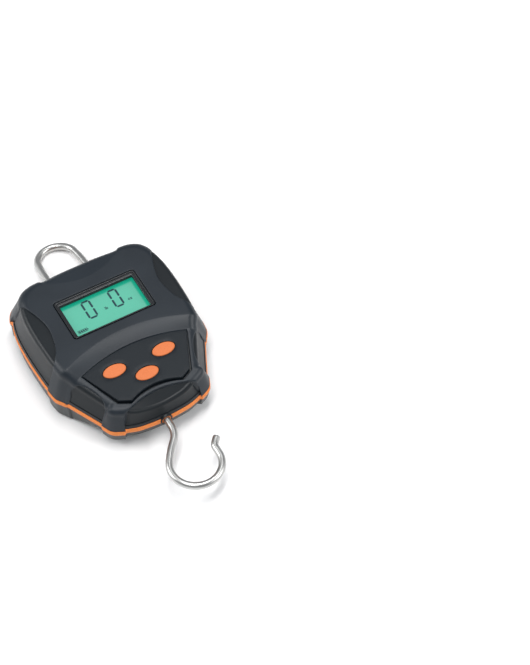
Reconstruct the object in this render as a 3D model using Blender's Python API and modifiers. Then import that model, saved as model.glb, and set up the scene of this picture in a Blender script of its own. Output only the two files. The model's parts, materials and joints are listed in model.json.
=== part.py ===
"""A pocket digital fish scale: two-part case, display, three keys, load cell, hook and hanging loop.

The scale lies on its back. In its own frame X runs to the right of the display, Y from the hook towards
the loop and Z up out of the display. Every piece is placed from the middle of the seal between the two
halves of the case, which is the scale_frame empty, and sizes are in millimetres times MM.
"""

import math

import bmesh
import bpy
from mathutils import Vector

MM = 0.001

# Case
HALF_WIDTH = 45.7 * MM
HALF_LENGTH = 51.0 * MM
CASE_CENTRE_Y = 5.0 * MM
REAR_DEPTH = 12.5 * MM
REAR_DEPTH_LOW = 8.0 * MM
REAR_RAMP = (-14.0 * MM, -30.0 * MM)
DISPLAY_HEIGHT = 20.5 * MM
KEYPAD_HEIGHT = 18.2 * MM
KEYPAD_SLOPE = 0.122
KEYPAD_TILT = math.atan(KEYPAD_SLOPE)
BAND_TOP_Y = 1.4 * MM
BAND_TOP_BOW = 7.0
BAND_LOW_Y = -7.0 * MM
BAND_LOW_BOW = 6.2
SCOOP_Y = 41.0 * MM
SCOOP_BOW = 15.5
SCOOP_FALL = 0.12
SEAL_HALF = 1.6 * MM
SHELL_BASE = 1.9 * MM
WALL = 2.2 * MM
SKIN = 1.2 * MM
GAP = 0.3 * MM
OPEN_REACH = 3.0 * MM
THROUGH_FRONT = (5.0 * MM, 30.0 * MM)
THROUGH_BACK = (-20.0 * MM, -2.0 * MM)
OUTLINE_STEPS = 60
INSIDE_STEPS = 36
EDGE_STEPS = 2
CROWN_SHARES = (0.8, 0.58, 0.32)

# Outlines of the right half where the halves meet, from the loop end round to the hook end.
CORE_HALF = (
    (0, 56.6), (13, 56.3), (25, 55.2), (33.5, 53.9), (39.5, 51.2), (42.6, 47), (44.3, 41),
    (45.4, 32.6), (45.7, 21), (45.5, 9), (45, 0), (43.6, -6.5), (40.5, -13.2), (31.4, -31.6),
    (29.4, -35.6), (26.6, -39.4), (22.6, -42), (18.5, -43.7), (12.4, -45.2), (0, -46),
)
GRIP_HALF = (
    (0, 57.8), (12, 57.5), (22.5, 56.6), (25.5, 57.9), (33.5, 57), (39.4, 54.8), (42.6, 51.2),
    (44.2, 46.4), (46, 33), (46.5, 21), (46.2, 9), (45.8, 0), (45.5, -4.5), (44.7, -8.7),
    (42.2, -12.2), (40.6, -15), (32, -32.5), (30.4, -36.2), (28.3, -40.3), (24.4, -42.8),
    (18.5, -44.6), (0, -46.8),
)

# Openings of the soft grip, in plan on the right side: the hard case shows in them.
SIDE_WINDOW = (
    (55, 47.2), (43.8, 46.6), (40.2, 39.8), (37.4, 34.5), (35.2, 28), (34.1, 20), (34.4, 11.5),
    (36.4, 4.6), (39.6, -0.6), (45, -1.2), (55, -1.2),
)
LOWER_WINDOW = (
    (50, -9.5), (40.3, -14.4), (37.6, -13.9), (34.4, -15.2), (30.6, -18), (28.2, -23), (27.3, -28.6),
    (28, -31.8), (31.2, -33.6), (44, -40),
)
END_WINDOW = ((22.6, -52), (22.3, -42), (20.2, -40.7), (16.2, -39.2), (8.2, -37.1), (0, -36.3))

# Display
DISPLAY_Y = 20.1 * MM
BEZEL_SIZE = (46.6 * MM, 26.8 * MM)
BEZEL_Z = (19.6 * MM, 20.7 * MM)
SHELL_WINDOW = (44.0 * MM, 24.2 * MM)
VIEW_SIZE = (42.2 * MM, 22.8 * MM)
LCD_SIZE = (45.0 * MM, 28.0 * MM)
LIGHT_SIZE = (44.0 * MM, 20.0 * MM)
CONNECTOR_SIZE = (42.0 * MM, 2.2 * MM)
CONNECTORS = {"upper": 32.5 * MM, "lower": 7.5 * MM}
LENS_Z = (17.1 * MM, 18.0 * MM)
LCD_Z = (14.6 * MM, 16.8 * MM)
LIGHT_Z = (10.6 * MM, 14.3 * MM)
BOARD_Z = (6.7 * MM, 8.3 * MM)
SOUNDER = (-31.5 * MM, 2.0 * MM, 4.5 * MM, 3.0 * MM)

# Keypad
PANEL_TOP = ((-30, -13.2), (0, -7.6), (30, -13.2))
PANEL_LOW = ((14.4, -37.3), (0, -33.9), (-14.4, -37.3))
PANEL_LOW_CORNER = (20.4, -34.4)
PANEL_PROUD = 0.3 * MM
PANEL_LIFT_SLOPE = 0.10
KEY_RADII = (6.3 * MM, 3.58 * MM)
KEY_TRAVEL = 0.7 * MM
KEY_REACH = 4.9 * MM
KEY_FLANGE = 1.0 * MM
KEYS = {"power": (-14.03, -17.96), "units": (14.03, -17.96), "tare": (0.0, -26.7)}
KEY_PROUD = 0.35 * MM
SWITCH_SIDE = 6.0 * MM

# Load path
WIRE = 2.0 * MM
CELL = ((-8.5 * MM, -20 * MM, -4.5 * MM), (8.5 * MM, 38 * MM, 4.5 * MM))
LOOP_PIVOT_Y = 33.0 * MM
LOOP_HALF = 11.8 * MM
LOOP_BEND = 2.8 * MM
LOOP_ARCH = 11.2 * MM
LOOP_ARCH_REACH = 48.6 * MM
LOOP_DROOP = math.radians(10.3)
COLLAR = 1.0 * MM
COLLAR_Y = (51.6 * MM, 55.6 * MM)
GROMMET = 4.2 * MM
HOOK_CENTRE = (0.2 * MM, -77.2 * MM)
HOOK_RADIUS = 13.3 * MM
HOOK_NECK_Y = -53.5 * MM

# Cells and their door
CELL_RADIUS = 5.25 * MM
CELL_SPAN = (-8.5 * MM, 36.0 * MM)
CELL_X = 20.15 * MM
CELL_Z = -3.35 * MM
WELL_Y = (-12.0 * MM, 38.2 * MM)
RIB = 1.6 * MM
TAB = 0.3 * MM
DOOR_Y = (-13.7 * MM, 44.0 * MM)
DOOR_HALF = 25.0 * MM
DOOR_WAY_END = -34.0 * MM
GROOVE_FIRST_Y = -9.5 * MM
GROOVE_PITCH = 2.2 * MM
GROOVE_WIDTH = 1.1 * MM
GROOVE_DEPTH = 0.9 * MM
GROOVE_HALF = 9.0 * MM
TONGUE_HALF = 27.0 * MM
TONGUE_Z = (-10.2 * MM, -9.2 * MM)

# Fasteners: x, y, seat of the head and tip of the thread of a case screw
BOSS = 3.1 * MM
SCREW_HOLE = 1.6 * MM
HEAD_BORE = 2.6 * MM
SCREW_HEAD = (2.3 * MM, 1.5 * MM)
CASE_SCREWS = ((32.0, 43.0, -9.3, 12.0), (20.0, -32.0, -5.0, 9.0))
BOARD_SCREW = (31.0 * MM, 22.0 * MM)
CELL_SCREW = (5.2 * MM, 28.6 * MM)

# The scale's overall box runs from the bottom of the hook to the top of the loop.
HOOK_END_Y = HOOK_CENTRE[1] - HOOK_RADIUS - WIRE
LOOP_END_Y = LOOP_PIVOT_Y + (LOOP_ARCH_REACH + LOOP_ARCH) * math.cos(LOOP_DROOP) + WIRE
FRAME_Y = -(HOOK_END_Y + LOOP_END_Y) / 2

for old in list(bpy.data.objects):
    bpy.data.objects.remove(old, do_unlink=True)

parts = bpy.data.collections.new("digital_fish_scale")
cutters = bpy.data.collections.new("cutters")
for collection in (parts, cutters):
    bpy.context.scene.collection.children.link(collection)
cutters.hide_render = True

scale_frame = bpy.data.objects.new("scale_frame", None)
scale_frame.location = (0, FRAME_Y, REAR_DEPTH)
parts.objects.link(scale_frame)


# Finishes

def finish(name, colour, roughness, metallic=0.0, alpha=1.0):
    material = bpy.data.materials.new(name)
    material.use_nodes = True
    shader = material.node_tree.nodes["Principled BSDF"]
    shader.inputs["Base Color"].default_value = (*colour, 1.0)
    shader.inputs["Roughness"].default_value = roughness
    shader.inputs["Metallic"].default_value = metallic
    shader.inputs["Alpha"].default_value = alpha
    return material


CASE_PLASTIC = finish("case_plastic", (0.035, 0.038, 0.040), 0.45)
SOFT_GRIP = finish("soft_grip", (0.022, 0.028, 0.034), 0.60)
SEAL_RUBBER = finish("seal_rubber", (0.85, 0.25, 0.08), 0.50)
KEY_RUBBER = finish("key_rubber", (0.90, 0.24, 0.09), 0.45)
KEYPAD_PLASTIC = finish("keypad_plastic", (0.020, 0.024, 0.029), 0.40)
CLEAR_LENS = finish("clear_lens", (0.9, 0.95, 0.95), 0.05, alpha=0.25)
LCD_FACE = finish("lcd_face", (0.14, 0.52, 0.40), 0.30)
LIGHT_PANEL = finish("light_panel", (0.80, 0.85, 0.80), 0.50)
CONTACT_STRIP = finish("contact_strip", (0.55, 0.30, 0.35), 0.60)
BOARD_RESIN = finish("board_resin", (0.02, 0.18, 0.07), 0.50)
BLACK_RESIN = finish("black_resin", (0.01, 0.01, 0.01), 0.35)
CELL_METAL = finish("cell_metal", (0.78, 0.78, 0.80), 0.35, 1.0)
STEEL = finish("stainless_steel", (0.62, 0.62, 0.60), 0.28, 1.0)
SCREW_STEEL = finish("screw_steel", (0.35, 0.35, 0.36), 0.35, 1.0)
SPRING_STEEL = finish("spring_steel", (0.72, 0.70, 0.66), 0.30, 1.0)
CELL_LABEL = finish("cell_label", (0.12, 0.13, 0.15), 0.35)
SILICONE = finish("silicone", (0.85, 0.85, 0.82), 0.40)


# Building

def new_object(name, mesh):
    piece = bpy.data.objects.new(name, mesh)
    piece.parent = scale_frame
    parts.objects.link(piece)
    return piece


def from_bmesh(name, shape):
    shape.normal_update()
    bmesh.ops.recalc_face_normals(shape, faces=shape.faces)
    mesh = bpy.data.meshes.new(name)
    shape.to_mesh(mesh)
    shape.free()
    return new_object(name, mesh)


def made_of(piece, material, smooth=False):
    piece.data.materials.clear()
    piece.data.materials.append(material)
    if smooth:
        piece.data.shade_smooth()
        piece.data.set_sharp_from_angle(angle=math.radians(35))
    return piece


def box(name, low, high):
    shape = bmesh.new()
    bmesh.ops.create_cube(shape, size=1)
    for vert in shape.verts:
        vert.co = Vector([a + (b - a) * (c + 0.5) for a, b, c in zip(low, high, vert.co)])
    return from_bmesh(name, shape)


def cylinder(name, radius, start, end, sides=20):
    """A round bar between two points."""
    start, end = Vector(start), Vector(end)
    shape = bmesh.new()
    bmesh.ops.create_cone(
        shape,
        cap_ends=True,
        segments=sides,
        radius1=radius,
        radius2=radius,
        depth=(end - start).length,
    )
    turn = (end - start).to_track_quat("Z", "Y")
    for vert in shape.verts:
        vert.co = turn @ vert.co + (start + end) / 2
    return from_bmesh(name, shape)


def mesh_of_curve(curve_object):
    """The curve as a closed mesh object of the same name."""
    bpy.context.view_layer.update()
    graph = bpy.context.evaluated_depsgraph_get()
    mesh = bpy.data.meshes.new_from_object(curve_object.evaluated_get(graph))
    name = curve_object.name
    curve = curve_object.data
    bpy.data.objects.remove(curve_object, do_unlink=True)
    bpy.data.curves.remove(curve)
    shape = bmesh.new()
    shape.from_mesh(mesh)
    bpy.data.meshes.remove(mesh)
    bmesh.ops.remove_doubles(shape, verts=shape.verts, dist=1e-6)
    return from_bmesh(name, shape)


def poly_curve(name, points, dimensions, cyclic):
    curve = bpy.data.curves.new(name, "CURVE")
    curve.dimensions = dimensions
    spline = curve.splines.new("POLY")
    spline.points.add(len(points) - 1)
    for knot, point in zip(spline.points, points):
        knot.co = (*Vector(point).to_3d(), 1)
    spline.use_cyclic_u = cyclic
    holder = bpy.data.objects.new(name, curve)
    parts.objects.link(holder)
    return holder


def plate(name, outline, low, high):
    """A flat plate with this outline in plan, between two heights."""
    holder = poly_curve(name, outline, "2D", cyclic=True)
    holder.data.fill_mode = "BOTH"
    holder.data.extrude = (high - low) / 2
    piece = mesh_of_curve(holder)
    for vert in piece.data.vertices:
        vert.co.z += (low + high) / 2
    return piece


def wire(name, points, radius, resolution=3):
    holder = poly_curve(name, points, "3D", cyclic=False)
    holder.data.bevel_depth = radius
    holder.data.bevel_resolution = resolution
    holder.data.use_fill_caps = True
    return mesh_of_curve(holder)


def turned(name, profile, sides=20):
    """A turned piece: (radius, height) from the top down its outer side, on the Z axis."""
    shape = bmesh.new()
    knots = [shape.verts.new((radius, 0, height)) for radius, height in profile]
    for first, second in zip(knots, knots[1:]):
        shape.edges.new((first, second))
    mesh = bpy.data.meshes.new(name)
    shape.to_mesh(mesh)
    shape.free()
    piece = new_object(name, mesh)
    screw = piece.modifiers.new("turn", "SCREW")
    screw.steps = sides
    screw.render_steps = sides
    screw.use_merge_vertices = True
    screw.merge_threshold = 1e-6
    return piece


def combine(target, tool, operation):
    """Cuts, joins or keeps with another shape, which becomes a cutter."""
    if tool.name in parts.objects:
        parts.objects.unlink(tool)
        cutters.objects.link(tool)
    tool.hide_render = True
    tool.display_type = "WIRE"
    change = target.modifiers.new(operation.lower(), "BOOLEAN")
    change.operation = operation
    change.solver = "EXACT"
    change.object = tool


def cut(target, *tools):
    for tool in tools:
        combine(target, tool, "DIFFERENCE")


def join(target, *tools):
    for tool in tools:
        combine(target, tool, "UNION")


def round_edges(piece, width, segments=2):
    bevel = piece.modifiers.new("round", "BEVEL")
    bevel.width = width
    bevel.segments = segments
    bevel.limit_method = "ANGLE"


def arc(first, middle, last, steps):
    """Points along the circle through three plan points."""
    (ax, ay), (bx, by), (cx, cy) = first, middle, last
    d = 2 * (ax * (by - cy) + bx * (cy - ay) + cx * (ay - by))
    a2, b2, c2 = ax * ax + ay * ay, bx * bx + by * by, cx * cx + cy * cy
    centre = Vector((
        (a2 * (by - cy) + b2 * (cy - ay) + c2 * (ay - by)) / d,
        (a2 * (cx - bx) + b2 * (ax - cx) + c2 * (bx - ax)) / d,
    ))
    start = Vector(first) - centre
    sweep = start.angle_signed(Vector(last) - centre)
    turns = [-sweep * i / steps for i in range(steps + 1)]
    return [
        centre + Vector((
            start.x * math.cos(t) - start.y * math.sin(t),
            start.x * math.sin(t) + start.y * math.cos(t),
        ))
        for t in turns
    ]


def smooth(points, closed, steps=8):
    """A Catmull-Rom curve through the points."""
    points = [Vector(point) for point in points]
    count = len(points)
    spans = count if closed else count - 1

    def at(i):
        return points[i % count] if closed else points[min(max(i, 0), count - 1)]

    curve = []
    for i in range(spans):
        p, q, r, s = at(i - 1), at(i), at(i + 1), at(i + 2)
        for j in range(steps):
            t = j / steps
            curve.append(
                q
                + (r - p) * (t / 2)
                + (2 * p - 5 * q + 4 * r - s) * (t * t / 2)
                + (3 * q - p - 3 * r + s) * (t * t * t / 2)
            )
    return curve if closed else curve + [points[-1]]


def evenly(points, count):
    """A closed line's points, moved to even steps along it."""
    ring = points + [points[0]]
    lengths = [(b - a).length for a, b in zip(ring, ring[1:])]
    total = sum(lengths)
    spaced = []
    walked = 0.0
    span = 0
    for i in range(count):
        target = total * i / count
        while walked + lengths[span] < target:
            walked += lengths[span]
            span += 1
        spaced.append(ring[span].lerp(ring[span + 1], (target - walked) / lengths[span]))
    return spaced


def whole_outline(half, count=OUTLINE_STEPS):
    """A closed outline in metres from the points of its right half."""
    left = [(-x, y) for x, y in reversed(half[1:-1])]
    return evenly([point * MM for point in smooth([*half, *left], closed=True)], count)


# Surfaces of the case

def front_height(x, y):
    """Height of the soft grip's top over the seal: display, sloping band, keypad and end scoop."""
    band_top = BAND_TOP_Y - BAND_TOP_BOW * x * x
    band_low = BAND_LOW_Y - BAND_LOW_BOW * x * x
    down = min(max((band_top - y) / (band_top - band_low), 0), 1)
    keypad = KEYPAD_HEIGHT + KEYPAD_SLOPE * (y - BAND_LOW_Y)
    scoop = max(y - SCOOP_Y - SCOOP_BOW * x * x, 0) * SCOOP_FALL
    return DISPLAY_HEIGHT * (1 - down) + keypad * down - scoop


def rear_depth(x, y):
    """Depth of the back under the seal: deep behind the display, shallower behind the keypad."""
    down = min(max((REAR_RAMP[0] - y) / (REAR_RAMP[0] - REAR_RAMP[1]), 0), 1)
    down = down * down * (3 - 2 * down)
    return REAR_DEPTH * (1 - down) + REAR_DEPTH_LOW * down


def case_half(name, outline, height, side, lean, fillet, flange=None, grow=0.0, reach=0.0):
    """One half of the case as a solid block: drafted wall, rounded edge and crowned face.

    side is 1 for the front and -1 for the back, lean is how far the wall leans in, and flange is
    the height and the depth of the step at the wall's foot. grow makes the block larger all over,
    and reach carries its foot on past the seal, for a cutter.
    """
    def moved(point, inset):
        inset -= grow
        return (
            point.x * (1 - inset / HALF_WIDTH),
            CASE_CENTRE_Y + (point.y - CASE_CENTRE_Y) * (1 - inset / HALF_LENGTH),
        )

    rings = []
    levels = [(0.0, -reach)]
    if flange:
        levels += [(0.0, flange[0]), (flange[1], flange[0] + flange[1])]
    for inset, rise in levels:
        rings.append([(*moved(p, inset), side * (SHELL_BASE + rise)) for p in outline])
    for step in range(EDGE_STEPS + 1):
        turn = math.pi / 2 * step / EDGE_STEPS
        inset = lean + fillet * (1 - math.cos(turn))
        ring = []
        for p in outline:
            x, y = moved(p, inset)
            crown = height(*moved(p, lean + fillet)) + grow
            ring.append((x, y, side * (crown - fillet * (1 - math.sin(turn)))))
        rings.append(ring)
    for share in CROWN_SHARES:
        ring = []
        for p in outline:
            x, y = moved(p, lean + fillet)
            x, y = x * share, CASE_CENTRE_Y + (y - CASE_CENTRE_Y) * share
            ring.append((x, y, side * (height(x, y) + grow)))
        rings.append(ring)

    shape = bmesh.new()
    rows = [[shape.verts.new(point) for point in ring] for ring in rings]
    steps = len(outline)
    for lower, upper in zip(rows, rows[1:]):
        for i in range(steps):
            j = (i + 1) % steps
            shape.faces.new((lower[i], lower[j], upper[j], upper[i]))
    middle = shape.verts.new((0, CASE_CENTRE_Y, side * (height(0, CASE_CENTRE_Y) + grow)))
    for i in range(steps):
        shape.faces.new((rows[-1][i], rows[-1][(i + 1) % steps], middle))
    shape.faces.new(list(reversed(rows[0])))
    bmesh.ops.triangulate(shape, faces=[face for face in shape.faces if len(face.verts) == 4])
    return from_bmesh(name, shape)


CORE = whole_outline(CORE_HALF)
GRIP = whole_outline(GRIP_HALF)
CORE_INSIDE = whole_outline(CORE_HALF, INSIDE_STEPS)


def front_core(name, grow=0.0, reach=0.0, outline=CORE):
    return case_half(
        name, outline, lambda x, y: front_height(x, y) - SKIN, 1,
        lean=5.2 * MM, fillet=3.4 * MM, flange=(2.0 * MM, 0.9 * MM), grow=grow, reach=reach,
    )


def rear_core(name, grow=0.0, reach=0.0):
    return case_half(
        name, CORE, lambda x, y: rear_depth(x, y) - SKIN, -1,
        lean=2.4 * MM, fillet=2.2 * MM, flange=(1.2 * MM, 0.7 * MM), grow=grow, reach=reach,
    )


def window_cutters(name, low, high):
    """The openings of the soft grip, as upright plugs."""
    plugs = []
    for label, half in (("side", SIDE_WINDOW), ("lower", LOWER_WINDOW)):
        for sign in (1, -1):
            plan = [(x * sign * MM, y * MM) for x, y in half]
            plugs.append(plate(f"{name}_{label}_{'r' if sign > 0 else 'l'}", plan, low, high))
    left = [(-x, y) for x, y in reversed(END_WINDOW[:-1])]
    plan = [(x * MM, y * MM) for x, y in (*END_WINDOW, *left)]
    plugs.append(plate(f"{name}_end", plan, low, high))
    return plugs


def display_opening(name, size, low, high):
    x, y = size[0] / 2, size[1] / 2
    return box(name, (-x, DISPLAY_Y - y, low), (x, DISPLAY_Y + y, high))


def panel_outline(grow=0.0):
    top = arc(*PANEL_TOP, 12)
    low = arc(*PANEL_LOW, 8)
    x, y = PANEL_LOW_CORNER
    points = [p * MM for p in (*top, Vector((x, y)), *low, Vector((-x, y)))]
    middle = Vector((0, -22 * MM))
    return [p + (p - middle).normalized() * grow for p in points]


def keypad_surface(y):
    return KEYPAD_HEIGHT + KEYPAD_SLOPE * (y - BAND_LOW_Y)


def key_plan(grow=0.0, sides=24):
    """The outline of a key about its own centre."""
    turns = [2 * math.pi * i / sides for i in range(sides)]
    return [((KEY_RADII[0] + grow) * math.cos(t), (KEY_RADII[1] + grow) * math.sin(t)) for t in turns]


def on_slope(piece, x, y):
    """Stands a piece made at the origin on the keypad slope at (x, y)."""
    piece.location = (x, y, keypad_surface(y))
    piece.rotation_euler = (KEYPAD_TILT, 0, 0)
    return piece


def key_hole(name, x, y):
    return on_slope(plate(name, key_plan(GAP), -12 * MM, 4 * MM), x, y)


def hook_passage(name, radius):
    return cylinder(name, radius, (0, -52 * MM, 0), (0, -38 * MM, 0), 24)


def loop_slot(name, sign, grow=0.0, span=(45 * MM, 62 * MM)):
    """The slot that one leg of the loop leaves by, high enough for the loop's swing."""
    half = WIRE + 0.4 * MM + grow
    height = 6.9 * MM + grow
    x = sign * LOOP_HALF
    return box(name, (x - half, span[0], -height), (x + half, span[1], height))


def collar_slot(name, sign):
    """The hole in a shell that the seal's collar round one leg of the loop sits in."""
    return loop_slot(name, sign, COLLAR + GAP)


def make_front_shell():
    shell = front_core("front_shell")
    hollow = front_core("front_hollow", -WALL, OPEN_REACH, CORE_INSIDE)
    cut(shell, hollow)
    for sign in (1, -1):
        for i, (x, y, _, tip) in enumerate(CASE_SCREWS):
            x, y = sign * x * MM, y * MM
            ceiling = front_height(x, y) - SKIN - WALL / 2
            join(shell, cylinder(f"front_boss_{i}{sign}", BOSS, (x, y, 0.2 * MM), (x, y, ceiling)))
            hole = ((x, y, -1 * MM), (x, y, (tip + 0.6) * MM))
            cut(shell, cylinder(f"front_pilot_{i}{sign}", SCREW_HOLE, *hole, sides=12))
        x, y = sign * BOARD_SCREW[0], BOARD_SCREW[1]
        ceiling = DISPLAY_HEIGHT - SKIN - WALL / 2
        join(shell, cylinder(f"board_boss_{sign}", 2.6 * MM, (x, y, BOARD_Z[1] + GAP), (x, y, ceiling)))
        hole = ((x, y, 6 * MM), (x, y, 15 * MM))
        cut(shell, cylinder(f"board_pilot_{sign}", 1.4 * MM, *hole, sides=12))
        cut(shell, collar_slot(f"front_loop_slot_{sign}", sign))
    cut(shell, display_opening("shell_display_opening", SHELL_WINDOW, *THROUGH_FRONT))
    for name, (x, y) in KEYS.items():
        cut(shell, key_hole(f"shell_{name}_hole", x * MM, y * MM))
    cut(shell, hook_passage("front_hook_passage", GROMMET + GAP))
    made_of(shell, CASE_PLASTIC)


def make_front_grip():
    grip = case_half(
        "front_grip", GRIP, front_height, 1, lean=4.6 * MM, fillet=4.0 * MM
    )
    cut(grip, front_core("front_grip_inside", GAP, OPEN_REACH))
    cut(grip, *window_cutters("front_window", 0, 30 * MM))
    size = [side + 2 * GAP for side in BEZEL_SIZE]
    cut(grip, display_opening("grip_display_opening", size, *THROUGH_FRONT))
    cut(grip, plate("grip_keypad_opening", panel_outline(GAP), *THROUGH_FRONT))
    for sign in (1, -1):
        cut(grip, collar_slot(f"grip_loop_slot_{sign}", sign))
    made_of(grip, SOFT_GRIP)


def make_seal():
    grip_edge = [p * (1 + 0.35 * MM / HALF_WIDTH) for p in GRIP]
    core_edge = [p * (1 + 0.45 * MM / HALF_WIDTH) for p in CORE]
    seal = plate("case_seal", grip_edge, -SEAL_HALF, SEAL_HALF)
    cut(seal, *window_cutters("seal_window", -5 * MM, 5 * MM))
    join(seal, plate("seal_core_band", core_edge, -SEAL_HALF, SEAL_HALF))
    inside = [
        Vector((p.x * 0.93, CASE_CENTRE_Y + (p.y - CASE_CENTRE_Y) * 0.94)) for p in CORE_INSIDE
    ]
    cut(seal, plate("seal_inside", inside, -5 * MM, 5 * MM))
    join(seal, cylinder("seal_grommet", GROMMET, (0, -46.9 * MM, 0), (0, -41.6 * MM, 0), 24))
    cut(seal, hook_passage("seal_hook_bore", WIRE + 0.4 * MM))
    for sign in (1, -1):
        join(seal, loop_slot(f"seal_collar_{sign}", sign, COLLAR, COLLAR_Y))
        cut(seal, loop_slot(f"seal_loop_slot_{sign}", sign))
    made_of(seal, SEAL_RUBBER)


def door_channel(name, extra=0.0):
    """The way that the battery door slides out by, at the width of its tongues."""
    half = TONGUE_HALF + GAP
    return box(
        name, (-half, DOOR_WAY_END, TONGUE_Z[0] - GAP - extra), (half, DOOR_Y[1] + GAP, TONGUE_Z[1] + GAP)
    )


def door_opening(name):
    half = DOOR_HALF + GAP
    low = -REAR_DEPTH - 2 * MM
    return box(name, (-half, DOOR_WAY_END, low), (half, DOOR_Y[1] + GAP, TONGUE_Z[0]))


def make_rear_shell():
    shell = rear_core("rear_shell")
    inside = case_half(
        "rear_hollow", CORE_INSIDE, lambda x, y: rear_depth(x, y) * 0.62 - 0.55 * MM, -1,
        lean=4.6 * MM, fillet=1.2 * MM, reach=OPEN_REACH,
    )
    cut(shell, inside, door_channel("shell_door_channel"), door_opening("shell_door_opening"))
    for sign in (1, -1):
        for i, (x, y, seat, _) in enumerate(CASE_SCREWS):
            x, y, seat = sign * x * MM, y * MM, seat * MM
            floor = seat + 0.4 * MM
            join(shell, cylinder(f"rear_boss_{i}{sign}", BOSS, (x, y, floor), (x, y, -0.3 * MM)))
            bore = ((x, y, THROUGH_BACK[0]), (x, y, seat + GAP))
            cut(shell, cylinder(f"rear_head_bore_{i}{sign}", HEAD_BORE, *bore, sides=16))
            hole = ((x, y, THROUGH_BACK[0]), (x, y, 2 * MM))
            cut(shell, cylinder(f"rear_hole_{i}{sign}", SCREW_HOLE, *hole, sides=12))
        low, high = sorted((sign * 14.3 * MM, sign * 26.0 * MM))
        for end, y in (("foot", WELL_Y[0] - RIB), ("head", WELL_Y[1])):
            rib = box(f"cell_rib_{end}{sign}", (low, y, -8.2 * MM), (high, y + RIB, 0.5 * MM))
            join(shell, rib)
        well = ((low, WELL_Y[0], -12 * MM), (high, WELL_Y[1], -2 * MM))
        cut(shell, box(f"cell_well_{sign}", *well))
        x, y = sign * CELL_SCREW[0], CELL_SCREW[1]
        join(shell, cylinder(f"cell_boss_{sign}", 2.8 * MM, (x, y, -8 * MM), (x, y, CELL[0][2] - GAP)))
        hole = ((x, y, -8.4 * MM), (x, y, 0))
        cut(shell, cylinder(f"cell_pilot_{sign}", 1.5 * MM, *hole, sides=12))
        cut(shell, collar_slot(f"rear_loop_slot_{sign}", sign))
    cut(shell, hook_passage("rear_hook_passage", GROMMET + GAP))
    made_of(shell, CASE_PLASTIC)


def make_rear_grip():
    grip = case_half(
        "rear_grip", GRIP, rear_depth, -1, lean=1.8 * MM, fillet=2.8 * MM
    )
    cut(grip, rear_core("rear_grip_inside", GAP, OPEN_REACH))
    cut(grip, *window_cutters("rear_window", -30 * MM, 0))
    cut(grip, door_channel("grip_door_channel"), door_opening("grip_door_opening"))
    for sign in (1, -1):
        cut(grip, collar_slot(f"rear_grip_loop_slot_{sign}", sign))
        for i, (x, y, _, _) in enumerate(CASE_SCREWS):
            bore = [(sign * x * MM, y * MM, z) for z in THROUGH_BACK]
            cut(grip, cylinder(f"grip_head_bore_{i}{sign}", HEAD_BORE + 0.4 * MM, *bore, sides=16))
    made_of(grip, SOFT_GRIP)


def make_display():
    inside_window = [side - 2 * GAP for side in SHELL_WINDOW]
    bezel = display_opening("display_bezel", BEZEL_SIZE, *BEZEL_Z)
    join(bezel, display_opening("bezel_skirt", inside_window, LENS_Z[1] + GAP, BEZEL_Z[0] + GAP))
    cut(bezel, display_opening("bezel_view", VIEW_SIZE, *THROUGH_FRONT))
    round_edges(bezel, 0.3 * MM, 1)
    made_of(bezel, KEYPAD_PLASTIC)

    made_of(display_opening("display_lens", inside_window, *LENS_Z), CLEAR_LENS)
    made_of(display_opening("lcd_glass", LCD_SIZE, *LCD_Z), LCD_FACE)
    made_of(display_opening("lcd_backlight", LIGHT_SIZE, *LIGHT_Z), LIGHT_PANEL)
    x, half_width = CONNECTOR_SIZE[0] / 2, CONNECTOR_SIZE[1] / 2
    for name, y in CONNECTORS.items():
        low = (-x, y - half_width, BOARD_Z[1] + GAP)
        high = (x, y + half_width, LCD_Z[0] - GAP)
        made_of(box(f"lcd_connector_{name}", low, high), CONTACT_STRIP)


def make_keypad():
    panel = plate("keypad_panel", panel_outline(), *THROUGH_FRONT)
    for vert in panel.data.vertices:
        proud = PANEL_PROUD + (BAND_LOW_Y - vert.co.y) * (KEYPAD_SLOPE - PANEL_LIFT_SLOPE)
        surface = keypad_surface(vert.co.y)
        top = vert.co.z > 15 * MM
        vert.co.z = surface + proud if top else surface - SKIN + GAP
    for name, (x, y) in KEYS.items():
        cut(panel, key_hole(f"panel_{name}_hole", x * MM, y * MM))
    made_of(panel, KEYPAD_PLASTIC)

    for name, (x, y) in KEYS.items():
        x, y = x * MM, y * MM
        proud = PANEL_PROUD + (BAND_LOW_Y - y) * (KEYPAD_SLOPE - PANEL_LIFT_SLOPE) + KEY_PROUD
        key = plate(f"{name}_key", key_plan(), -4.2 * MM, proud)
        flange = plate(f"{name}_key_flange", key_plan(KEY_FLANGE), -4.6 * MM, -3.7 * MM)
        stem = cylinder(f"{name}_key_stem", 1.4 * MM, (0, 0, -KEY_REACH), (0, 0, -4 * MM), 12)
        round_edges(key, 0.35 * MM, 1)
        for piece in (key, flange, stem):
            on_slope(piece, x, y)
        join(key, flange, stem)
        made_of(key, KEY_RUBBER, smooth=True)

        # The tip of the stem, on the slope's own axis, and the switch under it.
        tip = Vector((x, y, keypad_surface(y))) + Vector(
            (0, math.sin(KEYPAD_TILT), -math.cos(KEYPAD_TILT))
        ) * KEY_REACH
        half = SWITCH_SIDE / 2
        top = tip.z - KEY_TRAVEL - 0.5 * MM
        foot = BOARD_Z[1] + GAP
        low = (tip.x - half, tip.y - half, foot)
        body_top = max(foot + 0.7 * MM, top - 0.9 * MM)
        switch = box(f"{name}_switch", low, (tip.x + half, tip.y + half, body_top))
        plunger = ((tip.x, tip.y, foot + 0.2 * MM), (tip.x, tip.y, top))
        join(switch, cylinder(f"{name}_plunger", 1.5 * MM, *plunger, sides=12))
        made_of(switch, BLACK_RESIN)


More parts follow.
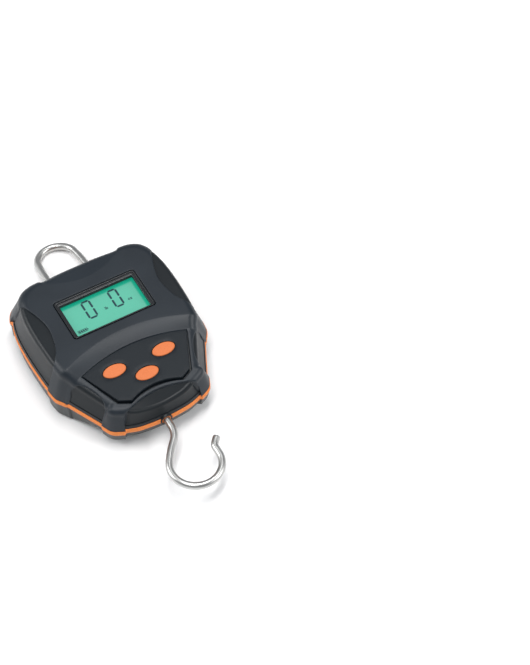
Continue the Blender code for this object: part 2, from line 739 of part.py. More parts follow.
def make_board():
    right = [(35, 33.5), (35, -6), (29, -14), (22.5, -27.5)]
    outline = [*right, *((-x, y) for x, y in reversed(right))]
    board = plate("circuit_board", [(x * MM, y * MM) for x, y in outline], *BOARD_Z)
    for sign in (1, -1):
        x, y = sign * BOARD_SCREW[0], BOARD_SCREW[1]
        hole = ((x, y, 5 * MM), (x, y, 15 * MM))
        cut(board, cylinder(f"board_hole_{sign}", 1.8 * MM, *hole, sides=12))
    made_of(board, BOARD_RESIN)
    under = BOARD_Z[0] - GAP
    chip = box("measuring_chip", (11 * MM, -4 * MM, under - 1.3 * MM), (19 * MM, 4 * MM, under))
    made_of(chip, BLACK_RESIN)
    x, y, radius, thickness = SOUNDER
    sounder = cylinder("sounder", radius, (x, y, under - thickness), (x, y, under), 16)
    made_of(sounder, BLACK_RESIN)


def make_screw(name, x, y, seat, tip, shank, up=1):
    """A pan-head screw standing on Z: seat is the underside of its head."""
    head, height = SCREW_HEAD
    length = abs(tip - seat)
    screw = turned(name, [
        (0, length), (shank, length - 0.6 * MM), (shank, 0), (head, 0),
        (head, -height * 0.6), (head * 0.7, -height), (0, -height),
    ], 12)
    screw.location = (x, y, seat)
    if up < 0:
        screw.rotation_euler = (math.pi, 0, 0)
    made_of(screw, SCREW_STEEL)


def make_fasteners():
    number = 1
    for x, y, seat, tip in CASE_SCREWS:
        for sign in (1, -1):
            place = (sign * x * MM, y * MM, seat * MM, tip * MM)
            make_screw(f"case_screw_{number}", *place, shank=1.25 * MM)
            number += 1
    for number, sign in ((1, 1), (2, -1)):
        x, y = sign * BOARD_SCREW[0], BOARD_SCREW[1]
        seat = BOARD_Z[0] - GAP
        make_screw(f"board_screw_{number}", x, y, seat, 14 * MM, shank=1.0 * MM)
        x, y = sign * CELL_SCREW[0], CELL_SCREW[1]
        seat = CELL[1][2] + GAP
        place = (x, y, seat, -7.6 * MM)
        make_screw(f"cell_screw_{number}", *place, shank=1.15 * MM, up=-1)


def make_load_cell():
    cell = box("load_cell", *CELL)
    x, z = CELL[1][0] + 1 * MM, CELL[1][2] + 1 * MM
    cut(cell, box("cell_hook_window", (-4.6 * MM, -8 * MM, -z), (x, 1 * MM, z)))
    cut(cell, box("cell_upper_slot", (-x, 23.6 * MM, -z), (4.6 * MM, 25.4 * MM, z)))
    for i, y in enumerate((9.6, 15.6)):
        cut(cell, cylinder(f"cell_gauge_bore_{i}", 4.2 * MM, (0, y * MM, -z), (0, y * MM, z), 20))
    cut(cell, box("cell_gauge_web", (-1.5 * MM, 9 * MM, -z), (1.5 * MM, 16 * MM, z)))
    bore = ((-x, LOOP_PIVOT_Y, 0), (x, LOOP_PIVOT_Y, 0))
    cut(cell, cylinder("cell_loop_bore", WIRE + GAP, *bore, sides=20))
    shank = ((0, -24 * MM, 0), (0, -4 * MM, 0))
    cut(cell, cylinder("cell_shank_bore", WIRE + GAP, *shank, sides=20))
    for sign in (1, -1):
        hole = ((sign * CELL_SCREW[0], CELL_SCREW[1], -z), (sign * CELL_SCREW[0], CELL_SCREW[1], z))
        cut(cell, cylinder(f"cell_hole_{sign}", 1.5 * MM, *hole, sides=12))
    made_of(cell, CELL_METAL)

    low = (-3.4 * MM, 3.6 * MM, CELL[1][2] + GAP)
    potting = box("gauge_potting", low, (3.4 * MM, 21.6 * MM, CELL[1][2] + GAP + 1.2 * MM))
    round_edges(potting, 0.5 * MM, 1)
    made_of(potting, SILICONE)
    lead = smooth([
        (4.4 * MM, 12 * MM, 5.5 * MM), (9 * MM, 13.5 * MM, 5.6 * MM), (14 * MM, 15.5 * MM, 5.3 * MM),
        (18 * MM, 16 * MM, 4.9 * MM), (20.4 * MM, 16 * MM, 5.4 * MM), (20.7 * MM, 16 * MM, 6.3 * MM),
    ], closed=False, steps=2)
    made_of(wire("gauge_lead", lead, 0.6 * MM, 2), BLACK_RESIN)


def make_loop():
    """The loop lies in a plane through its pivot, which is turned down by its droop."""
    inner = 3.5 * MM
    path = [(inner, 0), (LOOP_HALF - LOOP_BEND, 0)]
    for i in range(1, 6):
        turn = math.pi / 2 * i / 5
        path.append((
            LOOP_HALF - LOOP_BEND + LOOP_BEND * math.sin(turn), LOOP_BEND - LOOP_BEND * math.cos(turn)
        ))
    path += [(LOOP_HALF, 14 * MM), (LOOP_HALF, 26 * MM)]
    path += [(LOOP_HALF - 0.15 * MM, 36 * MM), (LOOP_HALF - 0.4 * MM, 43 * MM)]
    for i in range(0, 8):
        turn = math.pi / 2 * i / 8
        path.append((LOOP_ARCH * math.cos(turn), LOOP_ARCH_REACH + LOOP_ARCH * math.sin(turn)))
    left = [(-x, y) for x, y in reversed(path)]
    points = [(x, y, 0) for x, y in (*path, (0, LOOP_ARCH_REACH + LOOP_ARCH), *left)]
    loop = wire("hanging_loop", points, WIRE)
    loop.location = (0, LOOP_PIVOT_Y, 0)
    loop.rotation_euler = (-LOOP_DROOP, 0, 0)
    made_of(loop, STEEL, smooth=True)


def make_hook():
    """A round wire hook: straight shank, a neck bent to the left, an open ring and a flared tip."""
    def ring(degrees, reach=HOOK_RADIUS):
        turn = math.radians(degrees)
        return (HOOK_CENTRE[0] + reach * math.cos(turn), HOOK_CENTRE[1] + reach * math.sin(turn), 0)

    knots = [(0, -3.5 * MM, 0), (0, -18 * MM, 0), (0, DOOR_WAY_END, 0), (0, -47 * MM, 0)]
    knots += [(-0.1 * MM, HOOK_NECK_Y, 0), (-1.9 * MM, -58.2 * MM, 0), (-6.3 * MM, -63.4 * MM, 0)]
    knots += [ring(angle) for angle in (147, 170, 195, 220, 245, 270, 295, 320, 345, 365)]
    knots += [(13.7 * MM, -72.4 * MM, 0), (17.0 * MM, -68.3 * MM, 0)]
    hook = wire("weighing_hook", smooth(knots, closed=False, steps=3), WIRE)
    made_of(hook, STEEL, smooth=True)

    nut = cylinder("hook_nut", 3.9 * MM, (0, -6.3 * MM, 0), (0, -3.9 * MM, 0), 6)
    cut(nut, cylinder("nut_bore", WIRE + 0.25 * MM, (0, -8 * MM, 0), (0, 1 * MM, 0), 16))
    made_of(nut, SCREW_STEEL)
    washer = cylinder("hook_washer", 4.2 * MM, (0, -7.7 * MM, 0), (0, -6.7 * MM, 0), 20)
    cut(washer, cylinder("washer_bore", WIRE + 0.25 * MM, (0, -9 * MM, 0), (0, 1 * MM, 0), 16))
    made_of(washer, SCREW_STEEL)


def make_cells():
    for number, sign in ((1, 1), (2, -1)):
        x = sign * CELL_X
        start, end = CELL_SPAN if sign > 0 else CELL_SPAN[::-1]
        towards = 1 if end > start else -1
        cell = cylinder(f"battery_{number}", CELL_RADIUS, (x, start, CELL_Z), (x, end, CELL_Z), 20)
        cap = ((x, end - towards * MM, CELL_Z), (x, end + towards * 0.9 * MM, CELL_Z))
        join(cell, cylinder(f"battery_cap_{number}", 1.9 * MM, *cap, sides=12))
        made_of(cell, CELL_LABEL, smooth=True)

        # A flat tab meets the raised cap, and a conical spring meets the flat end.
        middle = end + towards * 1.35 * MM
        low = (x - 4 * MM, middle - TAB / 2, CELL_Z - 3.5 * MM)
        tab = box(f"battery_tab_{number}", low, (x + 4 * MM, middle + TAB / 2, CELL_Z + 3.5 * MM))
        made_of(tab, SPRING_STEEL)
        wall = WELL_Y[0] if sign > 0 else WELL_Y[1]
        foot = wall + towards * 0.4 * MM
        tip = start - towards * 0.4 * MM
        turns = 2.5
        steps = 20
        coil = []
        for i in range(steps + 1):
            share = i / steps
            angle = 2 * math.pi * turns * share
            reach = (3.6 - 1.8 * share) * MM
            coil.append((
                x + reach * math.cos(angle), foot + (tip - foot) * share, CELL_Z + reach * math.sin(angle)
            ))
        made_of(wire(f"battery_spring_{number}", coil, 0.22 * MM, 1), SPRING_STEEL)


def make_door():
    door = box(
        "battery_door", (-DOOR_HALF, DOOR_Y[0], -REAR_DEPTH + GAP), (DOOR_HALF, DOOR_Y[1], TONGUE_Z[1])
    )
    tongues = ((-TONGUE_HALF, -9 * MM, TONGUE_Z[0]), (TONGUE_HALF, DOOR_Y[1] - 1 * MM, TONGUE_Z[1]))
    join(door, box("door_tongues", *tongues))
    for i in range(4):
        y = GROOVE_FIRST_Y + GROOVE_PITCH * i
        low = (-GROOVE_HALF, y, -REAR_DEPTH - 1 * MM)
        high = (GROOVE_HALF, y + GROOVE_WIDTH, -REAR_DEPTH + GROOVE_DEPTH)
        cut(door, box(f"door_groove_{i}", low, high))
    made_of(door, CASE_PLASTIC)


make_front_shell()
make_front_grip()
make_seal()
make_rear_shell()
make_rear_grip()
make_display()
make_keypad()
make_board()
make_load_cell()
make_loop()
make_hook()
make_cells()
make_door()
make_fasteners()
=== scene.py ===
"""The looks of a pocket digital fish scale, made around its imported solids.

The two halves of the case, their soft grip, the keypad panel and the battery door are reliefs: a plan
is triangulated along its own edges and lifted on a height. Plans and heights are in millimetres in the
scale's own frame, whose origin is the middle of the seal between the two halves of the case.
"""

import json
import math

import bmesh
import bpy
import numpy as np
from mathutils import Euler, Matrix, Vector
from mathutils.geometry import delaunay_2d_cdt


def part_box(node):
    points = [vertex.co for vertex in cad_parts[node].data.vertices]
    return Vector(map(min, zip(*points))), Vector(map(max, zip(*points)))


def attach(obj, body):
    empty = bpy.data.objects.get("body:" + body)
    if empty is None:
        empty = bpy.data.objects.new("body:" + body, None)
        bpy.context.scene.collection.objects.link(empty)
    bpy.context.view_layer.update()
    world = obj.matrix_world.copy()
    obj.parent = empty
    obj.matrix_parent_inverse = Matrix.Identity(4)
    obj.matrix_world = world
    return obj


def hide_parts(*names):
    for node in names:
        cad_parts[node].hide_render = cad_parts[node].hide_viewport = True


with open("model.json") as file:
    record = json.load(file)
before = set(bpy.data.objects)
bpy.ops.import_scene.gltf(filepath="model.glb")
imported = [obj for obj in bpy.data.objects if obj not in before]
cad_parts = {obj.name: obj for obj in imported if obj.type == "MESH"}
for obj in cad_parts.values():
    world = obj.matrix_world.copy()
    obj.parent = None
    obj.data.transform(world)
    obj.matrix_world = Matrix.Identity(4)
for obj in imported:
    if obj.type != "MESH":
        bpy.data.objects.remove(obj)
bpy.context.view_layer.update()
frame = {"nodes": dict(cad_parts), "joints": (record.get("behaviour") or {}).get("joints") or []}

MM = 0.001
LOOP_PIVOT_Y = 33.0
LOOP_PIVOT = next(joint["pos_m"] for joint in frame["joints"] if joint["name"] == "loop_tilt")
SEAL_LOW, SEAL_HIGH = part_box("case_seal")
ORIGIN = Vector((0, LOOP_PIVOT[1] - LOOP_PIVOT_Y * MM, (SEAL_LOW.z + SEAL_HIGH.z) / 2))

# Case
HALF_WIDTH = 45.7
HALF_LENGTH = 51.0
CENTRE_Y = 5.0
REAR_DEPTH = 12.5
REAR_DEPTH_LOW = 8.0
REAR_RAMP = (-14.0, -30.0)
DISPLAY_HEIGHT = 20.5
KEYPAD_HEIGHT = 18.2
KEYPAD_SLOPE = 0.122
KEYPAD_TILT = math.atan(KEYPAD_SLOPE)
BAND_TOP_Y = 1.4
BAND_TOP_BOW = 0.0070
BAND_LOW_Y = -7.0
BAND_LOW_BOW = 0.0062
SCOOP_Y = 41.0
SCOOP_BOW = 0.0155
SCOOP_FALL = 0.12
HOOK_END_Y = (-33.0, -36.5)
FACET_Y = -36.3
FACET_BOW = 0.0108
FACET_FALL = 0.45
SEAL_HALF = 1.6
BASE = 1.75
WALL = 2.2
SKIN = 1.1
GAP = 0.25
RIM = 0.45

CORE_HALF = (
    (0, 56.6), (13, 56.3), (25, 55.2), (33.5, 53.6), (39.1, 50.6), (41.9, 46.4), (43.7, 41),
    (45, 32.6), (45.4, 21), (45.1, 9), (44.5, 0), (43.1, -6.5), (40.3, -13.2), (31.4, -31.6),
    (29.4, -35.6), (26.6, -39.4), (22.6, -42), (18.5, -43.7), (12.4, -45.2), (0, -46),
)
GRIP_HALF = (
    (0, 57.7), (12, 57.4), (24.2, 56.2), (27.2, 57.3), (33.5, 56.6), (38.8, 54.1), (41.8, 50.4),
    (43.5, 45.6), (45.6, 33), (46.1, 21), (45.8, 9), (45.2, 0), (44.8, -4.5), (44, -8.7),
    (41.8, -12.2), (40.3, -15), (32, -32.5), (30.4, -36.2), (28.3, -40.3), (24.4, -42.8),
    (18.5, -44.6), (0, -46.8),
)

# Openings of the soft grip on the right side, in plan: the hard case shows in them.
SIDE_WINDOW = (
    (60, 50.5), (43.4, 48), (40.6, 43.6), (37.6, 40.2), (35.4, 34.4), (33.2, 27.4), (32.2, 20.6),
    (33, 13.8), (34.6, 7.4), (37.2, 2.6), (40.2, -0.6), (45, -1.2), (60, -1.2),
)
LOWER_WINDOW = (
    (54, -7.0), (40, -14.4), (37, -13.8), (34.8, -15.1), (32.6, -16.8), (30.4, -19.6), (27.8, -25),
    (26.8, -29.2), (27.3, -32.4), (30.4, -34.2), (48, -42.5),
)
END_WINDOW = ((22.4, -56), (21.9, -43.5), (20.3, -41.1), (16.4, -39.7), (8.5, -37.5), (0, -36.6))

# Display
DISPLAY_Y = 20.1
BEZEL = (23.3, 13.0, 20.5)
VIEW = (21.1, 10.95, 19.65)
SHELL_WINDOW = (44.0, 24.2)
LENS_Z = (17.1, 18.0)
LCD_HALF = (22.5, 14.0)
LCD_BACK = 14.6
LCD_Z = 16.8
DIGIT_SIZE = (4.35, 11.2)
DIGIT_STROKE = 1.1
DIGIT_PLACES = ((-7.4, 23.7), (7.95, 23.65))
GAUGE_PLACE = (-16.4, 12.9)
UNIT_MARKS = (("pound_mark", "lb", 0.75, 20.1), ("ounce_mark", "oz", 14.3, 19.8))
UNIT_SIZE = 2.5

# Keypad
PANEL_TOP = ((-30, -13.2), (0, -7.6), (30, -13.2))
PANEL_LOW = ((14.4, -37.3), (0, -33.9), (-14.4, -37.3))
PANEL_LOW_CORNER = (20.4, -34.4)
PANEL_PROUD = 0.3
PANEL_LIFT_SLOPE = 0.082
KEY_RADII = (6.3, 3.58)
KEY_PROUD = 0.35
KEYS = {"power": (-14.03, -17.96), "units": (14.03, -17.96), "tare": (0.0, -26.7)}

# Load path
WIRE = 2.0
LOOP_HALF = 11.8
LOOP_BEND = 2.8
LOOP_ARCH = 10.9
LOOP_ARCH_REACH = 48.2
LOOP_DROOP = math.radians(10.3)
SLOT = (2.4, 6.9, 1.2)
HOOK_CENTRE = (0.2, -77.2)
HOOK_RADIUS = 13.3
GROMMET = 2.6
BOSS = 3.4

# Back
DOOR_Y = (-13.7, 44.0)
DOOR_HALF = 25.0
DOOR_WAY_END = -34.0
TONGUE_HALF = 27.0
TONGUE_Z = (-10.2, -9.2)
CASE_SCREWS = ((32.0, 43.0, -9.3, 12.0), (20.0, -32.0, -5.0, 9.0))
SCREW_HEAD = (2.3, 1.5)
SCREW_THREAD = (1.25, 1.0, 0.35)
CELL_RADIUS = 5.25
CELL_X = 20.15
CELL_Z = -3.35
CELL_SPAN = (-8.5, 36.0)
WELL_X = (14.3, 26.0)
WELL_Y = (-12.0, 38.2)
HEAD_BORE = 2.6
RIDGE = (9.0, 0.55)
RIDGE_FIRST_Y = -8.95
RIDGE_PITCH = 2.2


# Plans

def rounded(knots, closed=True, steps=12):
    """A Catmull-Rom curve through plan points."""
    knots = np.array(knots, float)
    if closed:
        p, q, r, s = (np.roll(knots, shift, axis=0) for shift in (1, 0, -1, -2))
    else:
        padded = np.vstack([knots[:1], knots, knots[-1:]])
        p, q, r, s = padded[:-3], padded[1:-2], padded[2:-1], padded[3:]
    t = np.linspace(0, 1, steps, endpoint=False)[None, :, None]
    p, q, r, s = (side[:, None, :] for side in (p, q, r, s))
    curve = q + (r - p) * t / 2 + (2 * p - 5 * q + 4 * r - s) * t**2 / 2
    curve = (curve + (3 * q - p - 3 * r + s) * t**3 / 2).reshape(-1, 2)
    return curve if closed else np.vstack([curve, knots[-1:]])


def evenly(line, step, closed=True):
    """The same line with its points about one step apart."""
    ring = np.vstack([line, line[:1]]) if closed else line
    walked = np.concatenate([[0], np.cumsum(np.hypot(*np.diff(ring, axis=0).T))])
    count = max(int(round(walked[-1] / step)), 8)
    at = np.linspace(0, walked[-1], count + 1)
    at = at[:-1] if closed else at
    return np.column_stack([np.interp(at, walked, ring[:, 0]), np.interp(at, walked, ring[:, 1])])


def mirrored(half):
    """A whole outline's knots from those of its right half, end to end."""
    return [*half, *((-x, y) for x, y in reversed(half[1:-1]))]


def other_side(line):
    return (line * (-1, 1))[::-1]


def offset(line, distance):
    """A closed line moved out by a distance, along its own normals."""
    along = np.roll(line, -1, axis=0) - np.roll(line, 1, axis=0)
    along /= np.hypot(*along.T)[:, None]
    turning = np.sign(np.sum(line[:, 0] * np.roll(line[:, 1], -1) - line[:, 1] * np.roll(line[:, 0], -1)))
    return line + np.column_stack([along[:, 1], -along[:, 0]]) * distance * turning


def rectangle(half_x, half_y, centre_y=0.0, corner=1.0, steps=6):
    """A rectangle with round corners, in plan, turning left."""
    corner = max(min(corner, half_x, half_y), 1e-3)
    turns = np.radians(np.linspace(0, 90, steps + 1))
    points = []
    for quarter, (sx, sy) in enumerate(((1, 1), (-1, 1), (-1, -1), (1, -1))):
        turn = turns + quarter * math.pi / 2
        x = sx * (half_x - corner) + corner * np.cos(turn)
        y = centre_y + sy * (half_y - corner) + corner * np.sin(turn)
        points.append(np.column_stack([x, y]))
    return np.vstack(points)


def circle(x, y, radius, count=28):
    turn = np.linspace(0, 2 * math.pi, count, endpoint=False)
    return np.column_stack([x + radius * np.cos(turn), y + radius * np.sin(turn)])


def inside(line, x, y):
    """Whether points lie inside a closed line."""
    held = np.zeros(np.shape(x), bool)
    for (ax, ay), (bx, by) in zip(line, np.roll(line, -1, axis=0)):
        crosses = (ay > y) != (by > y)
        with np.errstate(divide="ignore", invalid="ignore"):
            held ^= crosses & (x < (bx - ax) * (y - ay) / (by - ay) + ax)
    return held


def clearance(line, x, y, reach=4.0):
    """Distance from a closed line, positive outside it. Points further than the reach keep the reach."""
    shape = np.shape(x)
    x, y = np.ravel(x), np.ravel(y)
    nearest = np.full(x.shape, reach)
    near = (x > line[:, 0].min() - reach) & (x < line[:, 0].max() + reach)
    near &= (y > line[:, 1].min() - reach) & (y < line[:, 1].max() + reach)
    px, py = x[near], y[near]
    best = np.full(px.shape, reach)
    for (ax, ay), (bx, by) in zip(line, np.roll(line, -1, axis=0)):
        dx, dy = bx - ax, by - ay
        share = np.clip(((px - ax) * dx + (py - ay) * dy) / max(dx * dx + dy * dy, 1e-12), 0, 1)
        best = np.minimum(best, np.hypot(px - ax - share * dx, py - ay - share * dy))
    nearest[near] = np.where(inside(line, px, py), -best, best)
    return nearest.reshape(shape)


def softly(t):
    t = np.clip(t, 0, 1)
    return t * t * (3 - 2 * t)


def arc_through(first, middle, last, steps=40):
    """Plan points along the circle through three points."""
    (ax, ay), (bx, by), (cx, cy) = first, middle, last
    twice = 2 * (ax * (by - cy) + bx * (cy - ay) + cx * (ay - by))
    a, b, c = ax * ax + ay * ay, bx * bx + by * by, cx * cx + cy * cy
    centre = complex(
        (a * (by - cy) + b * (cy - ay) + c * (ay - by)) / twice,
        (a * (cx - bx) + b * (ax - cx) + c * (bx - ax)) / twice,
    )
    start = complex(ax, ay) - centre
    end = complex(cx, cy) - centre
    turns = np.angle(start) + np.angle(end / start) * np.linspace(0, 1, steps + 1)
    points = centre + abs(start) * np.exp(1j * turns)
    return np.column_stack([points.real, points.imag])


# Surfaces of the case

class Half:
    """One half of the case, or its grip, as a height over the plan.

    foot is the wall's foot as insets and heights over the seal's plane. Above it the wall leans in to
    the lean, and the fillet rounds it into the crown. hook_end is the lean and the fillet at that end,
    and how far to each side they reach.
    """

    def __init__(self, knots, crown, lean, fillet, foot, hook_end=None):
        self.outline = evenly(rounded(mirrored(knots)), 0.6)
        self.crown = crown
        self.lean = lean
        self.fillet = fillet
        self.foot = foot
        self.hook_end = hook_end or (lean, fillet, HALF_WIDTH)
        x, y = self.outline[:, 0], self.outline[:, 1] - CENTRE_Y
        order = np.argsort(np.arctan2(y, x))
        self.angles = np.arctan2(y, x)[order]
        self.radii = np.hypot(x, y)[order]

    def inset(self, x, y):
        """How far in from the outline each point is."""
        low, high = np.full(np.shape(x), -4.0), np.full(np.shape(x), 16.0)
        for _ in range(24):
            middle = (low + high) / 2
            across = x / (1 - middle / HALF_WIDTH)
            along = (y - CENTRE_Y) / (1 - middle / HALF_LENGTH)
            edge = np.interp(np.arctan2(along, across), self.angles, self.radii, period=2 * math.pi)
            outside = np.hypot(across, along) > edge
            low, high = np.where(outside, low, middle), np.where(outside, middle, high)
        return (low + high) / 2

    def ring(self, inset):
        """The outline moved in."""
        x = self.outline[:, 0] * (1 - inset / HALF_WIDTH)
        y = CENTRE_Y + (self.outline[:, 1] - CENTRE_Y) * (1 - inset / HALF_LENGTH)
        return np.column_stack([x, y])

    def rings(self):
        """Where its surface bends: the foot, the wall and the steps of the fillet."""
        turns = np.radians((0, 12, 25, 38, 51, 64, 77, 90))
        insets = [*(place for place, _ in self.foot), *(self.lean + self.fillet * (1 - np.cos(turns)))]
        if self.hook_end[0] != self.lean:
            insets += [*(self.hook_end[0] + self.hook_end[1] * (1 - np.cos(turns)))]
        middle = (self.foot[-1][0] + self.lean) / 2
        return [(self.ring(inset), True) for inset in (*insets, middle, self.lean + self.fillet + 1.2)]

    def height(self, x, y, thinner=0.0):
        inset = self.inset(x, y)
        share = softly((HOOK_END_Y[0] - y) / (HOOK_END_Y[0] - HOOK_END_Y[1]))
        share = share * softly((self.hook_end[2] - np.abs(x)) / 4)
        lean = self.lean + (self.hook_end[0] - self.lean) * share
        fillet = self.fillet + (self.hook_end[1] - self.fillet) * share
        full = lean + fillet
        across = np.where(inset < full, (1 - full / HALF_WIDTH) / (1 - inset / HALF_WIDTH), 1)
        along = np.where(inset < full, (1 - full / HALF_LENGTH) / (1 - inset / HALF_LENGTH), 1)
        top = self.crown(x * across, CENTRE_Y + (y - CENTRE_Y) * along)
        inset = inset - thinner
        foot_in, foot_up = self.foot[-1]
        rise = np.clip((inset - foot_in) / (lean - foot_in), 0, 1)
        turn = 1 - np.clip((inset - lean) / fillet, 0, 1)
        wall = foot_up + (top - fillet - foot_up) * rise + fillet * np.sqrt(1 - turn**2)
        foot = np.interp(inset, *zip(*self.foot))
        return np.where(inset < foot_in, foot, wall) - thinner


def creased(value, width):
    """The larger of a value and zero, with its corner rounded over a width."""
    return (value + np.sqrt(value * value + width * width)) / 2


def front_crown(x, y):
    """Display, sloping band, keypad and the shallow scoop at the loop's end."""
    band_top = BAND_TOP_Y - BAND_TOP_BOW * x * x
    band_low = BAND_LOW_Y - BAND_LOW_BOW * x * x
    depth = band_top - band_low
    down = creased(band_top - y, 0.35) - creased(band_low - y, 0.35)
    keypad = KEYPAD_HEIGHT + KEYPAD_SLOPE * (y - BAND_LOW_Y)
    scoop = creased(y - SCOOP_Y - SCOOP_BOW * x * x, 0.25) * SCOOP_FALL
    share = np.clip(down / depth, 0, 1)
    return DISPLAY_HEIGHT * (1 - share) + keypad * share - scoop


def core_crown(x, y):
    """The hard case, a skin below the grip. Towards the hook it falls away in a facet of its own."""
    return front_crown(x, y) - SKIN - FACET_FALL * creased(FACET_Y - FACET_BOW * x * x - y, 0.2)


def rear_crown(x, y):
    """Deep behind the display, shallower behind the keypad."""
    down = softly((REAR_RAMP[0] - y) / (REAR_RAMP[0] - REAR_RAMP[1]))
    return REAR_DEPTH + (REAR_DEPTH_LOW - REAR_DEPTH) * down


# The hard case shows a lip over the seal and a fine groove at its wall's foot.
LIP_AND_LEDGE = (
    (0, BASE), (0.1, 2.05), (0.2, 3.2), (0.42, 3.65), (0.6, 3.85), (0.66, 3.55), (0.78, 3.55),
    (0.86, 4.1), (0.98, 4.5), (1.15, 4.8),
)
REAR_LIP = (
    (0, BASE), (0.08, 2.0), (0.14, 2.7), (0.26, 2.9), (0.36, 2.9), (0.42, 2.6), (0.5, 2.6), (0.56, 3.1),
)
GRIP_FOOT = ((0, BASE), (0.14, 2.0), (0.3, 2.6))

FRONT_CORE = Half(CORE_HALF, core_crown, 4.2, 2.8, LIP_AND_LEDGE, (2.2, 2.0, 21.5))
FRONT_GRIP = Half(GRIP_HALF, front_crown, 4.6, 4.8, GRIP_FOOT, (2.8, 3.4, HALF_WIDTH))
REAR_CORE = Half(CORE_HALF, lambda x, y: rear_crown(x, y) - SKIN, 0.8, 1.6, REAR_LIP)
REAR_GRIP = Half(GRIP_HALF, rear_crown, 0.6, 2.2, GRIP_FOOT)


def closed_window(half):
    return evenly(rounded(half), 0.5)


SIDE = closed_window(SIDE_WINDOW)
LOWER = closed_window(LOWER_WINDOW)
END = closed_window([*END_WINDOW, *((-x, y) for x, y in reversed(END_WINDOW[:-1]))])
WINDOWS = [SIDE, other_side(SIDE), LOWER, other_side(LOWER), END]


def panel_plan(grow=0.0, low_grow=0.0):
    """The outline of the keypad panel, or of its opening: low_grow is the growth away from the band."""
    top = arc_through(*PANEL_TOP)
    low = arc_through(*PANEL_LOW, steps=24)
    x, y = PANEL_LOW_CORNER
    points = np.vstack([top, [(x, y)], low, [(-x, y)]])
    centre = np.array((0, -22.0))
    away = points - centre
    growth = np.full(len(points), low_grow)
    growth[:len(top)] = grow
    return evenly(points + away / np.hypot(*away.T)[:, None] * growth[:, None], 0.5)


def keypad_surface(y):
    return KEYPAD_HEIGHT + KEYPAD_SLOPE * (y - BAND_LOW_Y)


def panel_surface(y):
    return keypad_surface(y) + PANEL_PROUD + (BAND_LOW_Y - y) * (KEYPAD_SLOPE - PANEL_LIFT_SLOPE)


# Reliefs

RIM_STEPS = (-0.12, 0.0, 0.05, 0.13, 0.25, RIM)


def rims(line, steps=RIM_STEPS):
    return [(offset(line, step), True) for step in steps]


def rim_drop(distance, radius=RIM):
    """How far a rounded rim falls below the surface, at a distance from its edge."""
    turn = 1 - np.clip(distance / radius, 0, 1)
    return radius * (1 - np.sqrt(1 - turn**2))


def fill_points(lines, spacing):
    """A triangular grid over the lines' extent, with none close to a line."""
    low, high = lines.min(axis=0), lines.max(axis=0)
    rows = np.arange(low[1], high[1], spacing * 0.87)
    grid = []
    for number, y in enumerate(rows):
        x = np.arange(low[0] + (number % 2) * spacing / 2, high[0], spacing)
        grid.append(np.column_stack([x, np.full(x.shape, y)]))
    grid = np.vstack(grid)
    cell = spacing * 0.55
    row_length = 4096

    def cells(points, dx=0, dy=0):
        places = np.floor((points - low) / cell).astype(int) + 2
        return (places[:, 0] + dx) * row_length + places[:, 1] + dy

    taken = np.unique(np.concatenate([cells(lines, dx, dy) for dx in (-1, 0, 1) for dy in (-1, 0, 1)]))
    return grid[~np.isin(cells(grid), taken)]


def new_piece(name, mesh, material, body, replaced):
    piece = bpy.data.objects.new(name, mesh)
    bpy.context.scene.collection.objects.link(piece)
    mesh.materials.append(material)
    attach(piece, body)
    if replaced:
        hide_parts(*replaced)
    return piece


def placed(points, place=None):
    """Points in millimetres in the scale's frame, or in a place of their own on it, as world points."""
    points = np.asarray(points, float) * MM
    if place is not None:
        turn = np.array(place.to_3x3())
        points = points @ turn.T + np.array(place.translation)
    return points + np.array(ORIGIN)


